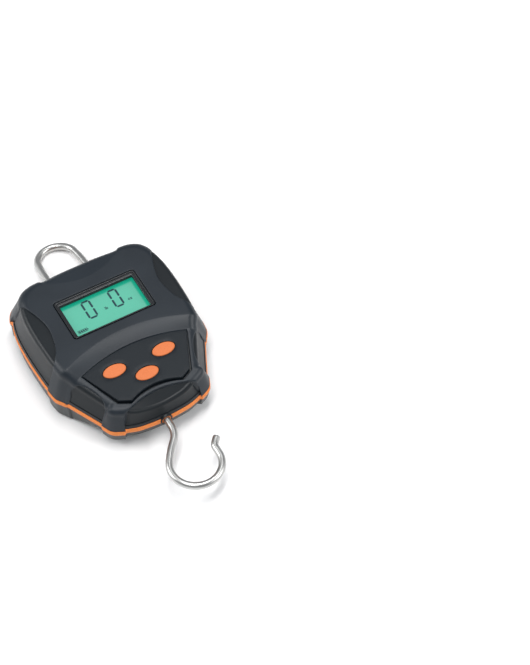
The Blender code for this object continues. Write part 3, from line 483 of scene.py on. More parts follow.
def relief(name, lines, keep, top, under, spacing=1.6, side=1, place=None):
    """The mesh of a closed piece over part of the plan.

    Its edges follow the lines, keep says which part of the plan it covers, and top and under are its
    heights towards its face. side is 1 for a face that looks up and -1 for one that looks down.
    """
    points, edges = [], []
    for line, closed in lines:
        first = sum(len(group) for group in points)
        count = len(line)
        edges += [(first + i, first + (i + 1) % count) for i in range(count if closed else count - 1)]
        points.append(line)
    points.append(fill_points(np.vstack(points), spacing))
    plan = [Vector(point) for point in np.vstack(points)]
    knots, _, faces, *_ = delaunay_2d_cdt(plan, edges, [], 0, 1e-4, False)
    knots = np.array(knots)
    faces = np.array(faces)
    middles = knots[faces].mean(axis=1)
    faces = faces[keep(middles[:, 0], middles[:, 1])]
    used, faces = np.unique(faces, return_inverse=True)
    knots = knots[used]
    faces = faces.reshape(-1, 3)
    x, y = knots[:, 0], knots[:, 1]

    upper = top(x, y)
    lower = np.minimum(under(x, y), upper - 0.04)
    step = 0.04
    slope_x = (top(x + step, y) - top(x - step, y)) / (2 * step)
    slope_y = (top(x, y + step) - top(x, y - step)) / (2 * step)
    normals = np.column_stack([-slope_x, -slope_y, np.ones(len(x))])
    normals /= np.hypot(np.hypot(*normals.T[:2]), normals[:, 2])[:, None]
    normals[:, 2] *= side

    ends = np.concatenate([faces[:, [0, 1]], faces[:, [1, 2]], faces[:, [2, 0]]])
    both = np.sort(ends, axis=1)
    _, where, times = np.unique(both, axis=0, return_index=True, return_counts=True)
    rim = ends[where[times == 1]]
    count = len(knots)
    walls = np.column_stack([rim[:, 1], rim[:, 0], rim[:, 0] + count, rim[:, 1] + count])
    # The triangulation turns left, so a face that looks down is turned round.
    upper_faces, lower_faces = faces, faces[:, ::-1] + count
    if side < 0:
        upper_faces, lower_faces = faces[:, ::-1], faces + count
        walls = walls[:, ::-1]

    heights = np.concatenate([upper, lower]) * side
    world = placed(np.column_stack([np.tile(x, 2), np.tile(y, 2), heights]), place)
    mesh = bpy.data.meshes.new(name)
    mesh.from_pydata(world.tolist(), [], [*upper_faces.tolist(), *lower_faces.tolist(), *walls.tolist()])
    mesh.update()
    mesh.shade_smooth()
    if place is not None:
        normals = normals @ np.array(place.to_3x3()).T
    flat = np.empty(len(mesh.polygons) * 3)
    mesh.polygons.foreach_get("normal", flat)
    flat = flat.reshape(-1, 3)
    corners = np.concatenate([
        normals[upper_faces].reshape(-1, 3),
        np.repeat(flat[len(faces):2 * len(faces)], 3, axis=0),
        np.repeat(flat[2 * len(faces):], 4, axis=0),
    ])
    mesh.normals_split_custom_set(corners.tolist())
    return mesh


def notch(half, centre_x, half_width, ceiling, far_y):
    """The plan of a hole through the wall at one end: where the wall is lower than the hole's ceiling."""
    x = np.linspace(centre_x - half_width, centre_x + half_width, 25)
    outer, inner = np.full(x.shape, far_y), np.full(x.shape, far_y * 0.62)
    for _ in range(24):
        middle = (outer + inner) / 2
        low = half.height(x, middle) < ceiling(x)
        outer, inner = np.where(low, middle, outer), np.where(low, inner, middle)
    return np.vstack([[(x[0], far_y)], np.column_stack([x, inner]), [(x[-1], far_y)]])


def slot_ceiling(x):
    return np.full(np.shape(x), 8.1)


def passage_ceiling(x):
    return np.sqrt(np.maximum(BOSS**2 - 1.0 - x * x, 0))


HOLES = [
    (LOOP_HALF, 3.6, slot_ceiling, 62.0),
    (-LOOP_HALF, 3.6, slot_ceiling, 62.0),
    (0.0, 3.0, passage_ceiling, -52.0),
]


def notches(half):
    return [notch(half, *hole) for hole in HOLES]


def holes_above(x, y, under):
    """Lifts an inner surface clear of the holes through the end walls."""
    for centre_x, half_width, ceiling, far_y in HOLES:
        near_end = y * np.sign(far_y) > abs(far_y) * 0.7
        over_hole = (np.abs(x - centre_x) < half_width - 0.02) & near_end
        under = np.where(over_hole, np.maximum(under, ceiling(x)), under)
    return under


def head_bores(radius):
    return [circle(sign * x, y, radius) for x, y, _, _ in CASE_SCREWS for sign in (1, -1)]


def in_any(lines, x, y):
    found = np.zeros(np.shape(x), bool)
    for line in lines:
        found |= inside(line, x, y)
    return found


def nearest_edge(lines, x, y):
    return np.minimum.reduce([clearance(line, x, y) for line in lines])


def all_closed(lines):
    return [(line, True) for line in lines]


def across(y_of_x):
    """A line from side to side of the case."""
    x = np.linspace(-50, 50, 140)
    return np.column_stack([x, y_of_x(x)]), False


def front_creases():
    lines = []
    for shift in (-0.5, -0.2, 0.0, 0.2, 0.5):
        lines.append(across(lambda x: BAND_TOP_Y - BAND_TOP_BOW * x * x + shift))
        lines.append(across(lambda x: BAND_LOW_Y - BAND_LOW_BOW * x * x + shift))
        lines.append(across(lambda x: SCOOP_Y + SCOOP_BOW * x * x + shift))
    return lines


def make_front_shell():
    window = rectangle(SHELL_WINDOW[0] / 2, SHELL_WINDOW[1] / 2, DISPLAY_Y, 1.0)
    key_holes = [key_plan(GAP + 0.5, place) for place in KEYS.values()]
    ends = notches(FRONT_CORE)
    lines = [*FRONT_CORE.rings(), *front_creases(), *all_closed([window, *key_holes, *ends])]

    def keep(x, y):
        return inside(FRONT_CORE.outline, x, y) & ~in_any([window, *key_holes, *ends], x, y)

    def under(x, y):
        return holes_above(x, y, np.maximum(FRONT_CORE.height(x, y, WALL), BASE))

    return relief("front_shell", lines, keep, FRONT_CORE.height, under, 2.0)


def make_front_grip():
    opening = rectangle(BEZEL[0] + GAP, BEZEL[1] + GAP, BEZEL[2], 1.6)
    edges = [*WINDOWS, opening, panel_plan(GAP, 0.9)]
    holes = [offset(line, RIM_STEPS[0]) for line in edges]
    ends = notches(FRONT_GRIP)
    lines = [*FRONT_GRIP.rings(), *front_creases(), *all_closed(ends)]
    for line in edges:
        lines += rims(line)

    def keep(x, y):
        return inside(FRONT_GRIP.outline, x, y) & ~in_any([*holes, *ends], x, y)

    def top(x, y):
        distance = nearest_edge(edges, x, y)
        surface = FRONT_GRIP.height(x, y) - rim_drop(distance)
        into = np.clip(distance / RIM_STEPS[0], 0, 1)
        return surface * (1 - into) + (FRONT_CORE.height(x, y) - 0.3) * into

    def under(x, y):
        return holes_above(x, y, np.maximum(FRONT_CORE.height(x, y) - 0.3, BASE))

    return relief("front_grip", lines, keep, top, under, 1.7)


def door_way(half, low=DOOR_WAY_END, corner=0.8):
    """The plan of the way that the door slides in."""
    high = DOOR_Y[1] + GAP
    return rectangle(half, (high - low) / 2, (high + low) / 2, corner)


def ramp_y(depth):
    """Where the back's ramp is this deep."""
    y = np.linspace(*REAR_RAMP, 200)
    return float(np.interp(-depth, -rear_crown(0, y), y))


def tongue_exit():
    """Where the door's tongues leave the back's ramp: the first y and the last."""
    return ramp_y(-TONGUE_Z[0] + GAP + 0.4), ramp_y(-TONGUE_Z[1] - GAP)


def door_opening():
    """The plan of the grip's opening for the door, wider where the door's tongues leave the ramp."""
    inner, outer = DOOR_HALF + GAP, TONGUE_HALF + GAP + 0.4
    high = DOOR_Y[1] + GAP
    step_y, low = tongue_exit()
    right = [(outer, low), (outer, step_y), (inner, step_y), (inner, high)]
    left = [(-x, y) for x, y in reversed(right)]
    return evenly(np.array(right + left), 0.8)


def ramp_creases():
    return [across(lambda x: np.full(x.shape, y)) for y in np.linspace(*REAR_RAMP, 9)]


def make_rear_shell():
    way = evenly(door_way(TONGUE_HALF + GAP), 1.2)
    wells = []
    for sign in (1, -1):
        well = rectangle((WELL_X[1] - WELL_X[0]) / 2, (WELL_Y[1] - WELL_Y[0]) / 2, sum(WELL_Y) / 2, 0.6)
        wells.append(well + (sign * sum(WELL_X) / 2, 0))
    ends = notches(REAR_CORE)
    steps = [line for plan in (way, *head_bores(HEAD_BORE)) for line in rims(plan, (0.0, -0.1))]
    lines = [*REAR_CORE.rings(), *steps, *all_closed([*wells, *ends]), *ramp_creases()]

    def keep(x, y):
        return inside(REAR_CORE.outline, x, y) & ~in_any([*wells, *ends], x, y)

    def top(x, y):
        surface = REAR_CORE.height(x, y)
        into = np.clip(-clearance(way, x, y) / 0.1, 0, 1)
        surface = np.minimum(surface, surface * (1 - into) + (-TONGUE_Z[1] - GAP) * into)
        for screw_x, screw_y, seat, _ in CASE_SCREWS:
            away = np.hypot(np.abs(x) - screw_x, y - screw_y)
            into = np.clip((HEAD_BORE - away) / 0.1, 0, 1)
            surface = surface * (1 - into) + (-seat - GAP) * into
        return surface

    def under(x, y):
        floor = np.maximum(REAR_CORE.height(x, y, WALL), BASE)
        return holes_above(x, y, np.minimum(floor, rear_crown(x, y) * 0.62 - 0.55))

    return relief("rear_shell", lines, keep, top, under, 2.2, side=-1)


def make_rear_grip():
    slot = door_way(TONGUE_HALF + GAP, tongue_exit()[0] - 1.5)
    edges = [*WINDOWS, door_opening(), *head_bores(HEAD_BORE + 0.4)]
    holes = [offset(line, RIM_STEPS[0]) for line in edges]
    ends = notches(REAR_GRIP)
    lines = [*REAR_GRIP.rings(), *all_closed(ends), *ramp_creases(), (slot, True)]
    for line in edges:
        lines += rims(line)

    def keep(x, y):
        return inside(REAR_GRIP.outline, x, y) & ~in_any([*holes, *ends], x, y)

    def under(x, y):
        floor = np.maximum(REAR_CORE.height(x, y) - 0.3, BASE)
        return holes_above(x, y, np.where(clearance(slot, x, y) < 0.01, -TONGUE_Z[0] + GAP, floor))

    def top(x, y):
        distance = nearest_edge(edges, x, y)
        surface = REAR_GRIP.height(x, y) - rim_drop(distance)
        into = np.clip(distance / RIM_STEPS[0], 0, 1)
        return surface * (1 - into) + under(x, y) * into

    return relief("rear_grip", lines, keep, top, under, 2.0, side=-1)


def key_plan(grow, place=(0.0, 0.0), count=48):
    turn = np.linspace(0, 2 * math.pi, count, endpoint=False)
    x = place[0] + (KEY_RADII[0] + grow) * np.cos(turn)
    # A hole square to the keypad's slope would be a little narrower in plan; this plan is not narrowed for
    # it.
    y = place[1] + (KEY_RADII[1] + grow) * np.sin(turn)
    return np.column_stack([x, y])


def make_panel():
    outline = panel_plan()
    holes = [key_plan(GAP, place) for place in KEYS.values()]
    chamfer = 0.4
    lines = rims(outline, (0.0, -0.06, -0.18, -chamfer))
    for hole in holes:
        lines += rims(hole, (0.0, 0.06, 0.18))

    def keep(x, y):
        return inside(outline, x, y) & ~in_any(holes, x, y)

    def top(x, y):
        surface = panel_surface(y) - rim_drop(-clearance(outline, x, y), chamfer)
        for hole in holes:
            surface = surface - rim_drop(clearance(hole, x, y), 0.2)
        return surface

    return relief("keypad_panel", lines, keep, top, lambda x, y: keypad_surface(y) - SKIN, 1.6)


def make_key(name):
    """A domed oval key on the keypad's slope, with its skirt reaching down under the panel."""
    x, y = KEYS[name]
    proud = panel_surface(y) - keypad_surface(y) + KEY_PROUD
    place = Matrix.Translation(Vector((x, y, keypad_surface(y))) * MM) @ Matrix.Rotation(KEYPAD_TILT, 4, "X")
    outline = key_plan(0)
    lines = [(key_plan(0.0 - step), True) for step in (0.0, 0.05, 0.14, 0.28, 0.5, 1.2, 2.2)]

    def top(x, y):
        reach = np.hypot(x / KEY_RADII[0], y / KEY_RADII[1])
        edge = (1 - np.clip(reach, 0, 1)) * KEY_RADII[1]
        return proud + 0.12 * (1 - reach**2) - 0.12 - rim_drop(edge, 0.45)

    return relief(
        f"{name}_key", lines, lambda x, y: inside(outline, x, y), top, lambda x, y: np.full(x.shape, -4.2),
        0.9, place=place,
    )


def make_door():
    """The sliding door over the cells, with finger ridges and an arrow that points the way out."""
    face = REAR_DEPTH - 0.3
    plate = rectangle(DOOR_HALF, (DOOR_Y[1] - DOOR_Y[0]) / 2, sum(DOOR_Y) / 2, 1.2)
    tongues = rectangle(TONGUE_HALF, (DOOR_Y[1] - 1 + 9) / 2, (DOOR_Y[1] - 1 - 9) / 2, 0.6)
    ridges = [rectangle(*RIDGE, RIDGE_FIRST_Y + RIDGE_PITCH * i, 0.5) for i in range(4)]
    arrow = np.array([(-4.5, 3.2), (0, -0.6), (4.5, 3.2), (4.5, 4.6), (0, 0.8), (-4.5, 4.6)])[::-1]
    arrow = evenly(arrow, 0.4)
    marks = [*ridges, arrow]
    lines = [*rims(plate, (0.0, -0.08, -0.2, -0.4, -0.7)), (offset(plate, 0.1), True), (tongues, True)]
    for mark in marks:
        lines += rims(mark, (0.12, 0.0, -0.15, -0.3))

    def keep(x, y):
        return inside(tongues, x, y) | inside(offset(plate, 0.1), x, y)

    def top(x, y):
        away = clearance(plate, x, y)
        surface = face - rim_drop(-away, 0.7)
        for mark in ridges:
            surface = surface - 0.8 * softly(-(clearance(mark, x, y) - 0.12) / 0.42)
        surface = surface - 0.35 * softly(-(clearance(arrow, x, y) - 0.12) / 0.27)
        into = np.clip(away / 0.1, 0, 1)
        return surface * (1 - into) - TONGUE_Z[0] * into

    def under(x, y):
        return np.full(x.shape, -TONGUE_Z[1])

    return relief("battery_door", lines, keep, top, under, 2.2, side=-1)


def make_screw_head(name, x, y, seat):
    """A pan head with a cross recess."""
    radius, height = SCREW_HEAD
    place = Matrix.Translation(Vector((x, y, seat)) * MM)
    arms = [rectangle(1.35, 0.3, 0, 0.12, 2), rectangle(0.3, 1.35, 0, 0.12, 2)]
    outline = circle(0, 0, radius, 40)
    lines = [(circle(0, 0, r, 40), True) for r in (radius, radius - 0.06, radius - 0.2, radius - 0.45, 1.6)]
    for arm in arms:
        lines += rims(arm, (0.05, -0.06))

    def top(x, y):
        reach = np.hypot(x, y)
        surface = height - rim_drop(radius - reach, 0.5) - 0.16 * (reach / radius) ** 2
        cross = np.minimum(*(clearance(arm, x, y) for arm in arms))
        return surface - 0.9 * softly((0.05 - cross) / 0.11)

    return relief(
        name, lines, lambda x, y: inside(outline, x, y), top, lambda x, y: np.zeros(x.shape), 0.5,
        side=-1, place=place,
    )


# Turned, swept and lofted pieces

def make_screw_shank(name, x, y, seat, tip):
    """A case screw's shank from its head to its point, ridged by its thread."""
    crest, root, half_pitch = SCREW_THREAD
    levels = np.arange(seat - 0.3, tip - 1.2, half_pitch)
    rings = []
    for number, z in enumerate(levels):
        plan = circle(x, y, crest if number % 2 else root, 20)
        rings.append(placed(np.column_stack([plan, np.full(len(plan), z)])))
    point = circle(x, y, 0.2, 20)
    rings.append(placed(np.column_stack([point, np.full(len(point), tip)])))
    return from_rings(name, rings, capped=True)


def from_rings(name, rings, closed=False, capped=False):
    """A mesh that joins rings of world points. closed joins the last ring to the first."""
    count = len(rings[0])
    points = [tuple(point) for ring in rings for point in ring]
    faces = []
    spans = len(rings) if closed else len(rings) - 1
    for i in range(spans):
        first, second = i * count, (i + 1) % len(rings) * count
        for j in range(count):
            k = (j + 1) % count
            faces.append((first + j, first + k, second + k, second + j))
    if capped:
        faces.append(tuple(reversed(range(count))))
        faces.append(tuple(range(len(points) - count, len(points))))
    mesh = bpy.data.meshes.new(name)
    mesh.from_pydata(points, [], faces)
    shape = bmesh.new()
    shape.from_mesh(mesh)
    bmesh.ops.recalc_face_normals(shape, faces=shape.faces)
    shape.to_mesh(mesh)
    shape.free()
    mesh.shade_smooth()
    mesh.set_sharp_from_angle(angle=math.radians(40))
    if capped:
        for face in mesh.polygons[-2:]:
            face.use_smooth = False
    return mesh


def turned(name, profile, count=48):
    """A ring about the hook's shank, from its profile of radius and y."""
    rings = []
    for radius, y in profile:
        plan = circle(0, 0, radius, count)
        rings.append(placed(np.column_stack([plan[:, 0], np.full(count, y), plan[:, 1]])))
    return from_rings(name, rings, closed=True)


def frame_loft(name, profile, inner, outer, corner):
    """A rectangular frame between two rectangles, each its half sizes and its centre's y.

    profile is each ring's share of the way from the inner to the outer one, and its height.
    """
    rings = []
    for share, height in profile:
        half_x, half_y, centre_y = np.array(inner) * (1 - share) + np.array(outer) * share
        plan = rectangle(half_x, half_y, centre_y, corner + share, 8)
        rings.append(placed(np.column_stack([plan, np.full(len(plan), height)])))
    return from_rings(name, rings, closed=True)


def slab(name, half_x, half_y, centre_y, low, high, corner=0.6, edge=0.12):
    """A flat plate with round corners and softened edges."""
    profile = ((-edge, low), (0, low + edge), (0, high - edge), (-edge, high))
    rings = []
    for out, height in profile:
        plan = rectangle(half_x + out, half_y + out, centre_y, corner, 5)
        rings.append(placed(np.column_stack([plan, np.full(len(plan), height)])))
    return from_rings(name, rings, capped=True)


def tube(name, path, radius, sides=28, end_round=0.35):
    """A round wire along a path of points, with softened ends.

    wire_grain holds each point's place round and along the wire, for finishes that follow it.
    """
    path = [Vector(point) for point in path]
    first = path[0] + (path[1] - path[0]).normalized() * end_round
    last = path[-1] + (path[-2] - path[-1]).normalized() * end_round
    tip, shoulder = radius - end_round, radius - end_round * 0.25
    stations = [(path[0], tip), (path[0].lerp(first, 0.35), shoulder), (first, radius)]
    stations += [(point, radius) for point in path[1:-1]]
    stations += [(last, radius), (path[-1].lerp(last, 0.35), shoulder), (path[-1], tip)]
    spots = [spot for spot, _ in stations]
    across = (path[1] - path[0]).orthogonal().normalized()
    rings, grain = [], []
    walked = 0.0
    for i, (spot, reach) in enumerate(stations):
        along = (spots[min(i + 1, len(spots) - 1)] - spots[max(i - 1, 0)]).normalized()
        across = (across - along * across.dot(along)).normalized()
        third = along.cross(across)
        walked += (spot - spots[i - 1]).length if i else 0.0
        ring = []
        for j in range(sides):
            turn = 2 * math.pi * j / sides
            ring.append((spot + (across * math.cos(turn) + third * math.sin(turn)) * reach))
            grain.append((math.cos(turn) * radius, math.sin(turn) * radius, walked))
        rings.append(ring)
    rings = [placed([tuple(point) for point in ring]) for ring in rings]
    mesh = from_rings(name, rings, capped=True)
    attribute = mesh.attributes.new("wire_grain", "FLOAT_VECTOR", "POINT")
    attribute.data.foreach_set("vector", [value * MM for point in grain for value in point])
    return mesh


def hook_path():
    def ring(degrees):
        turn = math.radians(degrees)
        return (HOOK_CENTRE[0] + HOOK_RADIUS * math.cos(turn), HOOK_CENTRE[1] + HOOK_RADIUS * math.sin(turn))

    knots = [(0, -3.5), (0, -18), (0, -34), (0, -47), (-0.1, -53.5), (-1.9, -58.2), (-6.3, -63.4)]
    knots += [ring(angle) for angle in (147, 170, 195, 220, 245, 270, 295, 320, 345, 365)]
    knots += [(13.7, -72.4), (17.0, -68.3)]
    line = evenly(rounded(knots, closed=False, steps=16), 0.9, closed=False)
    return [(x, y, 0) for x, y in line]


def loop_path():
    """The loop lies in a plane through its pivot, which droops from the case's own plane."""
    straight = LOOP_HALF - LOOP_BEND
    half = [(3.5, 0), (straight, 0)]
    for degrees in range(15, 91, 15):
        turn = math.radians(degrees)
        half.append((straight + LOOP_BEND * math.sin(turn), LOOP_BEND - LOOP_BEND * math.cos(turn)))
    half += [(LOOP_HALF, 14), (LOOP_HALF, 26), (LOOP_HALF - 0.15, 36), (LOOP_HALF - 0.4, 43)]
    for degrees in range(0, 90, 9):
        turn = math.radians(degrees)
        half.append((LOOP_ARCH * math.cos(turn), LOOP_ARCH_REACH + LOOP_ARCH * math.sin(turn)))
    knots = [*half, (0, LOOP_ARCH_REACH + LOOP_ARCH), *((-x, y) for x, y in reversed(half))]
    line = evenly(rounded(knots, closed=False, steps=6), 0.9, closed=False)
    fall = Euler((-LOOP_DROOP, 0, 0)).to_matrix()
    return [fall @ Vector((x, y, 0)) + Vector((0, LOOP_PIVOT_Y, 0)) for x, y in line]


def spring_path(sign):
    """A conical spring from the well's wall to the flat end of its cell."""
    x = sign * CELL_X
    wall, start, towards = (WELL_Y[0], CELL_SPAN[0], 1) if sign > 0 else (WELL_Y[1], CELL_SPAN[1], -1)
    foot, tip = wall + towards * 0.4, start - towards * 0.4
    turns, wide, narrow, steps = 2.5, 3.6, 1.8, 90
    path = []
    for i in range(steps + 1):
        share = i / steps
        turn = 2 * math.pi * turns * share
        reach = wide + (narrow - wide) * share
        y = foot + (tip - foot) * share
        path.append((x + reach * math.cos(turn), y, CELL_Z + reach * math.sin(turn)))
    return path


def make_cell(name, sign):
    """A dry cell: its rolled can ends, sleeve and raised cap."""
    start, end = CELL_SPAN if sign > 0 else CELL_SPAN[::-1]
    towards = 1 if end > start else -1
    length = abs(end - start)
    profile = [
        (0, 0), (3.9, 0), (4.2, 0.25), (4.7, 0.25), (4.95, 0.1), (5.15, 0.3), (CELL_RADIUS, 0.6),
        (CELL_RADIUS, length - 0.6), (5.15, length - 0.25), (4.9, length - 0.05), (4.5, length - 0.1),
        (4.2, length - 0.4), (2.3, length - 0.4), (2.1, length - 0.2), (1.9, length + 0.3),
        (1.8, length + 0.75), (1.5, length + 0.9), (0, length + 0.9),
    ]
    rings = []
    for radius, along in profile:
        reach = max(radius, 0.01)
        turns = [2 * math.pi * j / 40 for j in range(40)]
        y = start + towards * along
        ring = [(sign * CELL_X + reach * math.cos(t), y, CELL_Z + reach * math.sin(t)) for t in turns]
        rings.append(placed(ring))
    return from_rings(name, rings, capped=True)


def make_seal():
    """The band of rubber between the halves: it bulges a little, and follows the grip's steps."""
    def edge(x, y):
        distance = np.minimum.reduce([clearance(line, x, y, 3.0) for line in WINDOWS])
        return softly(0.5 + distance / 0.9)

    grip_edge = evenly(rounded(mirrored(GRIP_HALF)), 0.45)
    along = FRONT_CORE
    turn = np.arctan2(grip_edge[:, 1] - CENTRE_Y, grip_edge[:, 0])
    reach = np.hypot(grip_edge[:, 0], grip_edge[:, 1] - CENTRE_Y)
    core_reach = np.interp(turn, along.angles, along.radii, period=2 * math.pi)
    share = edge(grip_edge[:, 0], grip_edge[:, 1])
    reach = (reach + 0.35) * share + (core_reach + 0.45) * (1 - share)

    def ring(inwards, height):
        x = np.cos(turn) * (reach - inwards)
        y = CENTRE_Y + np.sin(turn) * (reach - inwards)
        return placed(np.column_stack([x, y, np.full(len(x), height)]))

    profile = [
        (3.2, -SEAL_HALF), (0.5, -SEAL_HALF), (0.2, -1.5), (0.05, -1.2), (0.0, -0.6), (0.0, 0.6),
        (0.05, 1.2), (0.2, 1.5), (0.5, SEAL_HALF), (3.2, SEAL_HALF),
    ]
    return from_rings("case_seal", [ring(*place) for place in profile], closed=True)


def make_loop_collar(name, sign):
    """The rubber frame round the slot that a leg of the loop tilts in."""
    profile = ((0, 51.6), (0, 56.7), (0.3, 57.0), (0.9, 57.0), (1.1, 56.7), (1.1, 51.6))
    half_width, half_height, corner = SLOT
    rings = []
    for out, y in profile:
        plan = rectangle(half_width + out, half_height + out, 0, corner + out, 5)
        x, z = plan[:, 0] + sign * LOOP_HALF, plan[:, 1]
        rings.append(placed(np.column_stack([x, np.full(len(x), y), z])))
    return from_rings(name, rings, closed=True)


def stroke_cell(x, y, length, width, upright):
    """One long hexagonal mark of the display, about its centre."""
    half, side = length / 2, width / 2
    upper = [(half, 0), (half - side, side), (side - half, side), (-half, 0)]
    plan = upper + [(side - half, -side), (half - side, -side)]
    return [(x + b, y + a) if upright else (x + a, y + b) for a, b in plan]


def digit_marks(x, y):
    """The six lit marks of a nought."""
    width, height = DIGIT_SIZE[0] / 2, DIGIT_SIZE[1] / 2
    gap = 0.2
    marks = []
    for sign in (1, -1):
        marks.append(stroke_cell(x, y + sign * height, 2 * width - gap, DIGIT_STROKE, False))
        for column in (1, -1):
            centre = y + sign * height / 2
            marks.append(stroke_cell(x + column * width, centre, height - gap - 0.25, DIGIT_STROKE, True))
    return marks


def battery_marks(x, y):
    """The battery gauge: an outline round four bars."""
    def bar(left, right, low, high):
        return [(left, low), (right, low), (right, high), (left, high)]

    marks = [bar(x - 2.75, x + 2.55, y + side, y + side + 0.2) for side in (-1.0, 0.8)]
    marks += [bar(x - 2.75, x - 2.55, y - 0.8, y + 0.8), bar(x + 2.35, x + 2.55, y - 0.8, y + 0.8)]
    marks.append(bar(x + 2.55, x + 2.95, y - 0.4, y + 0.4))
    marks += [bar(x - 2.3 + 1.16 * i, x - 1.45 + 1.16 * i, y - 0.6, y + 0.6) for i in range(4)]
    return marks


def make_marks():
    """Everything lit on the display, as thin dark shapes on the glass."""
    low, high = LCD_Z + 0.01, LCD_Z + 0.06
    points, faces = [], []
    marks = battery_marks(*GAUGE_PLACE)
    for place in DIGIT_PLACES:
        marks += digit_marks(*place)
    for mark in marks:
        first, count = len(points), len(mark)
        if sum(a[0] * b[1] - a[1] * b[0] for a, b in zip(mark, mark[1:] + mark[:1])) < 0:
            mark = mark[::-1]
        points += [(x, y, low) for x, y in mark] + [(x, y, high) for x, y in mark]
        faces.append(tuple(reversed(range(first, first + count))))
        faces.append(tuple(range(first + count, first + 2 * count)))
        for i in range(count):
            j = (i + 1) % count
            faces.append((first + i, first + j, first + count + j, first + count + i))
    mesh = bpy.data.meshes.new("display_marks")
    mesh.from_pydata(placed(points).tolist(), [], faces)
    mesh.update()
    return mesh


def unit_word(name, word, x, y):
    """A small unit on the display, such as lb."""
    letters = bpy.data.curves.new(name, "FONT")
    letters.body = word
    letters.size = UNIT_SIZE * MM
    letters.offset = 0.05 * MM
    letters.extrude = 0.02 * MM
    letters.align_x = "CENTER"
    letters.align_y = "CENTER"
    piece = bpy.data.objects.new(name, letters)
    piece.location = placed([(x, y, LCD_Z + 0.04)])[0]
    bpy.context.scene.collection.objects.link(piece)
    return piece


# Finishes

class Link:
    """A value in a finish, which arithmetic adds nodes to."""

    def __init__(self, finish, socket):
        self.finish = finish
        self.socket = socket

    def maths(self, operation, first, second):
        return self.finish.node("ShaderNodeMath", {"operation": operation}, {0: first, 1: second})

    def __add__(self, other):
        return self.maths("ADD", self, other)

    def __sub__(self, other):
        return self.maths("SUBTRACT", self, other)

    def __rsub__(self, other):
        return self.maths("SUBTRACT", other, self)

    def __mul__(self, other):
        return self.maths("MULTIPLY", self, other)

    __radd__ = __add__
    __rmul__ = __mul__

    def between(self, low, high):
        """0 below low, 1 above high and a smooth rise between them."""
        inputs = {"Value": self, "From Min": low, "From Max": high}
        return self.finish.node("ShaderNodeMapRange", {"interpolation_type": "SMOOTHSTEP"}, inputs)


class Finish:
    """A material built round one Principled shader."""

    def __init__(self, name, **constants):
        self.material = bpy.data.materials.new(name)
        self.material.use_nodes = True
        self.tree = self.material.node_tree
        self.shader = self.tree.nodes["Principled BSDF"]
        for socket, value in constants.items():
            socket = socket.replace("_", " ").title().replace("Ior", "IOR")
            self.shader.inputs[socket].default_value = value
        self.place = self.node("ShaderNodeTexCoord", output="Object")

    def node(self, kind, settings=None, inputs=None, output=0):
        made = self.tree.nodes.new(kind)
        for setting, value in (settings or {}).items():
            setattr(made, setting, value)
        for socket, value in (inputs or {}).items():
            if isinstance(value, Link):
                self.tree.links.new(value.socket, made.inputs[socket])
            else:
                made.inputs[socket].default_value = value
        return Link(self, made.outputs[output])

    def feed(self, socket, value):
        self.tree.links.new(value.socket, self.shader.inputs[socket])

    def noise(self, scale, detail=3.0, stretch=None, vector=None):
        vector = vector or self.place
        if stretch:
            vector = self.node("ShaderNodeMapping", inputs={"Vector": vector, "Scale": stretch})
        return self.node("ShaderNodeTexNoise", inputs={"Vector": vector, "Scale": scale, "Detail": detail})

    def cells(self, scale, output="Distance"):
        inputs = {"Vector": self.place, "Scale": scale}
        return self.node("ShaderNodeTexVoronoi", inputs=inputs, output=output)

    def axes(self):
        """The x, y and z of each point, in metres."""
        apart = self.node("ShaderNodeSeparateXYZ", inputs={"Vector": self.place})
        outputs = apart.socket.node.outputs
        return [Link(self, outputs[axis]) for axis in ("X", "Y", "Z")]

    def blend(self, share, first, second):
        """A colour from the first to the second as the share goes from 0 to 1."""
        colours = [(*c, 1) if isinstance(c, tuple) else c for c in (first, second)]
        inputs = {0: share, 6: colours[0], 7: colours[1]}
        return self.node("ShaderNodeMix", {"data_type": "RGBA"}, inputs, output=2)

    def bump(self, height, strength, distance):
        inputs = {"Height": height, "Strength": strength, "Distance": distance * MM}
        self.feed("Normal", self.node("ShaderNodeBump", inputs=inputs, output="Normal"))


def scuffs(finish, scale=90.0):
    """Sparse fine scratches, as a mask."""
    fine = finish.noise(scale, 2.0, stretch=(1.0, 14.0, 6.0))
    patches = finish.noise(28.0, 2.0)
    return fine.between(0.66, 0.72) * patches.between(0.5, 0.62)


def soft_grip(name, dark, light):
    """Soft-touch rubber: a dull bloom, with a fine even grain."""
    finish = Finish(name, specular_ior_level=0.4)
    grain = finish.noise(2400.0, 2.0)
    cloud = finish.noise(38.0, 3.0)
    specks = finish.cells(420.0).between(0.0, 0.09)
    tone = cloud.between(0.3, 0.7) * 0.6 + grain * 0.4
    finish.feed("Base Color", finish.blend(tone, dark, light))
    finish.feed("Roughness", 0.34 + cloud * 0.1 + grain * 0.08 + (1 - specks) * 0.04)
    finish.bump(grain * 0.8 + cloud * 0.4, 0.22, 0.05)
    return finish.material


def case_plastic(name, dark, light):
    """Moulded case plastic with a satin spark finish and a few handling marks."""
    finish = Finish(name, specular_ior_level=0.28)
    grain = finish.noise(3200.0, 3.0)
    cloud = finish.noise(60.0, 2.0)
    marks = scuffs(finish)
    tone = grain * 0.5 + cloud * 0.5
    finish.feed("Base Color", finish.blend(tone, dark, light))
    finish.feed("Roughness", 0.29 + grain * 0.1 + cloud * 0.06 + marks * 0.1)
    finish.bump(grain + cloud * 0.3 - marks * 0.4, 0.16, 0.04)
    return finish.material


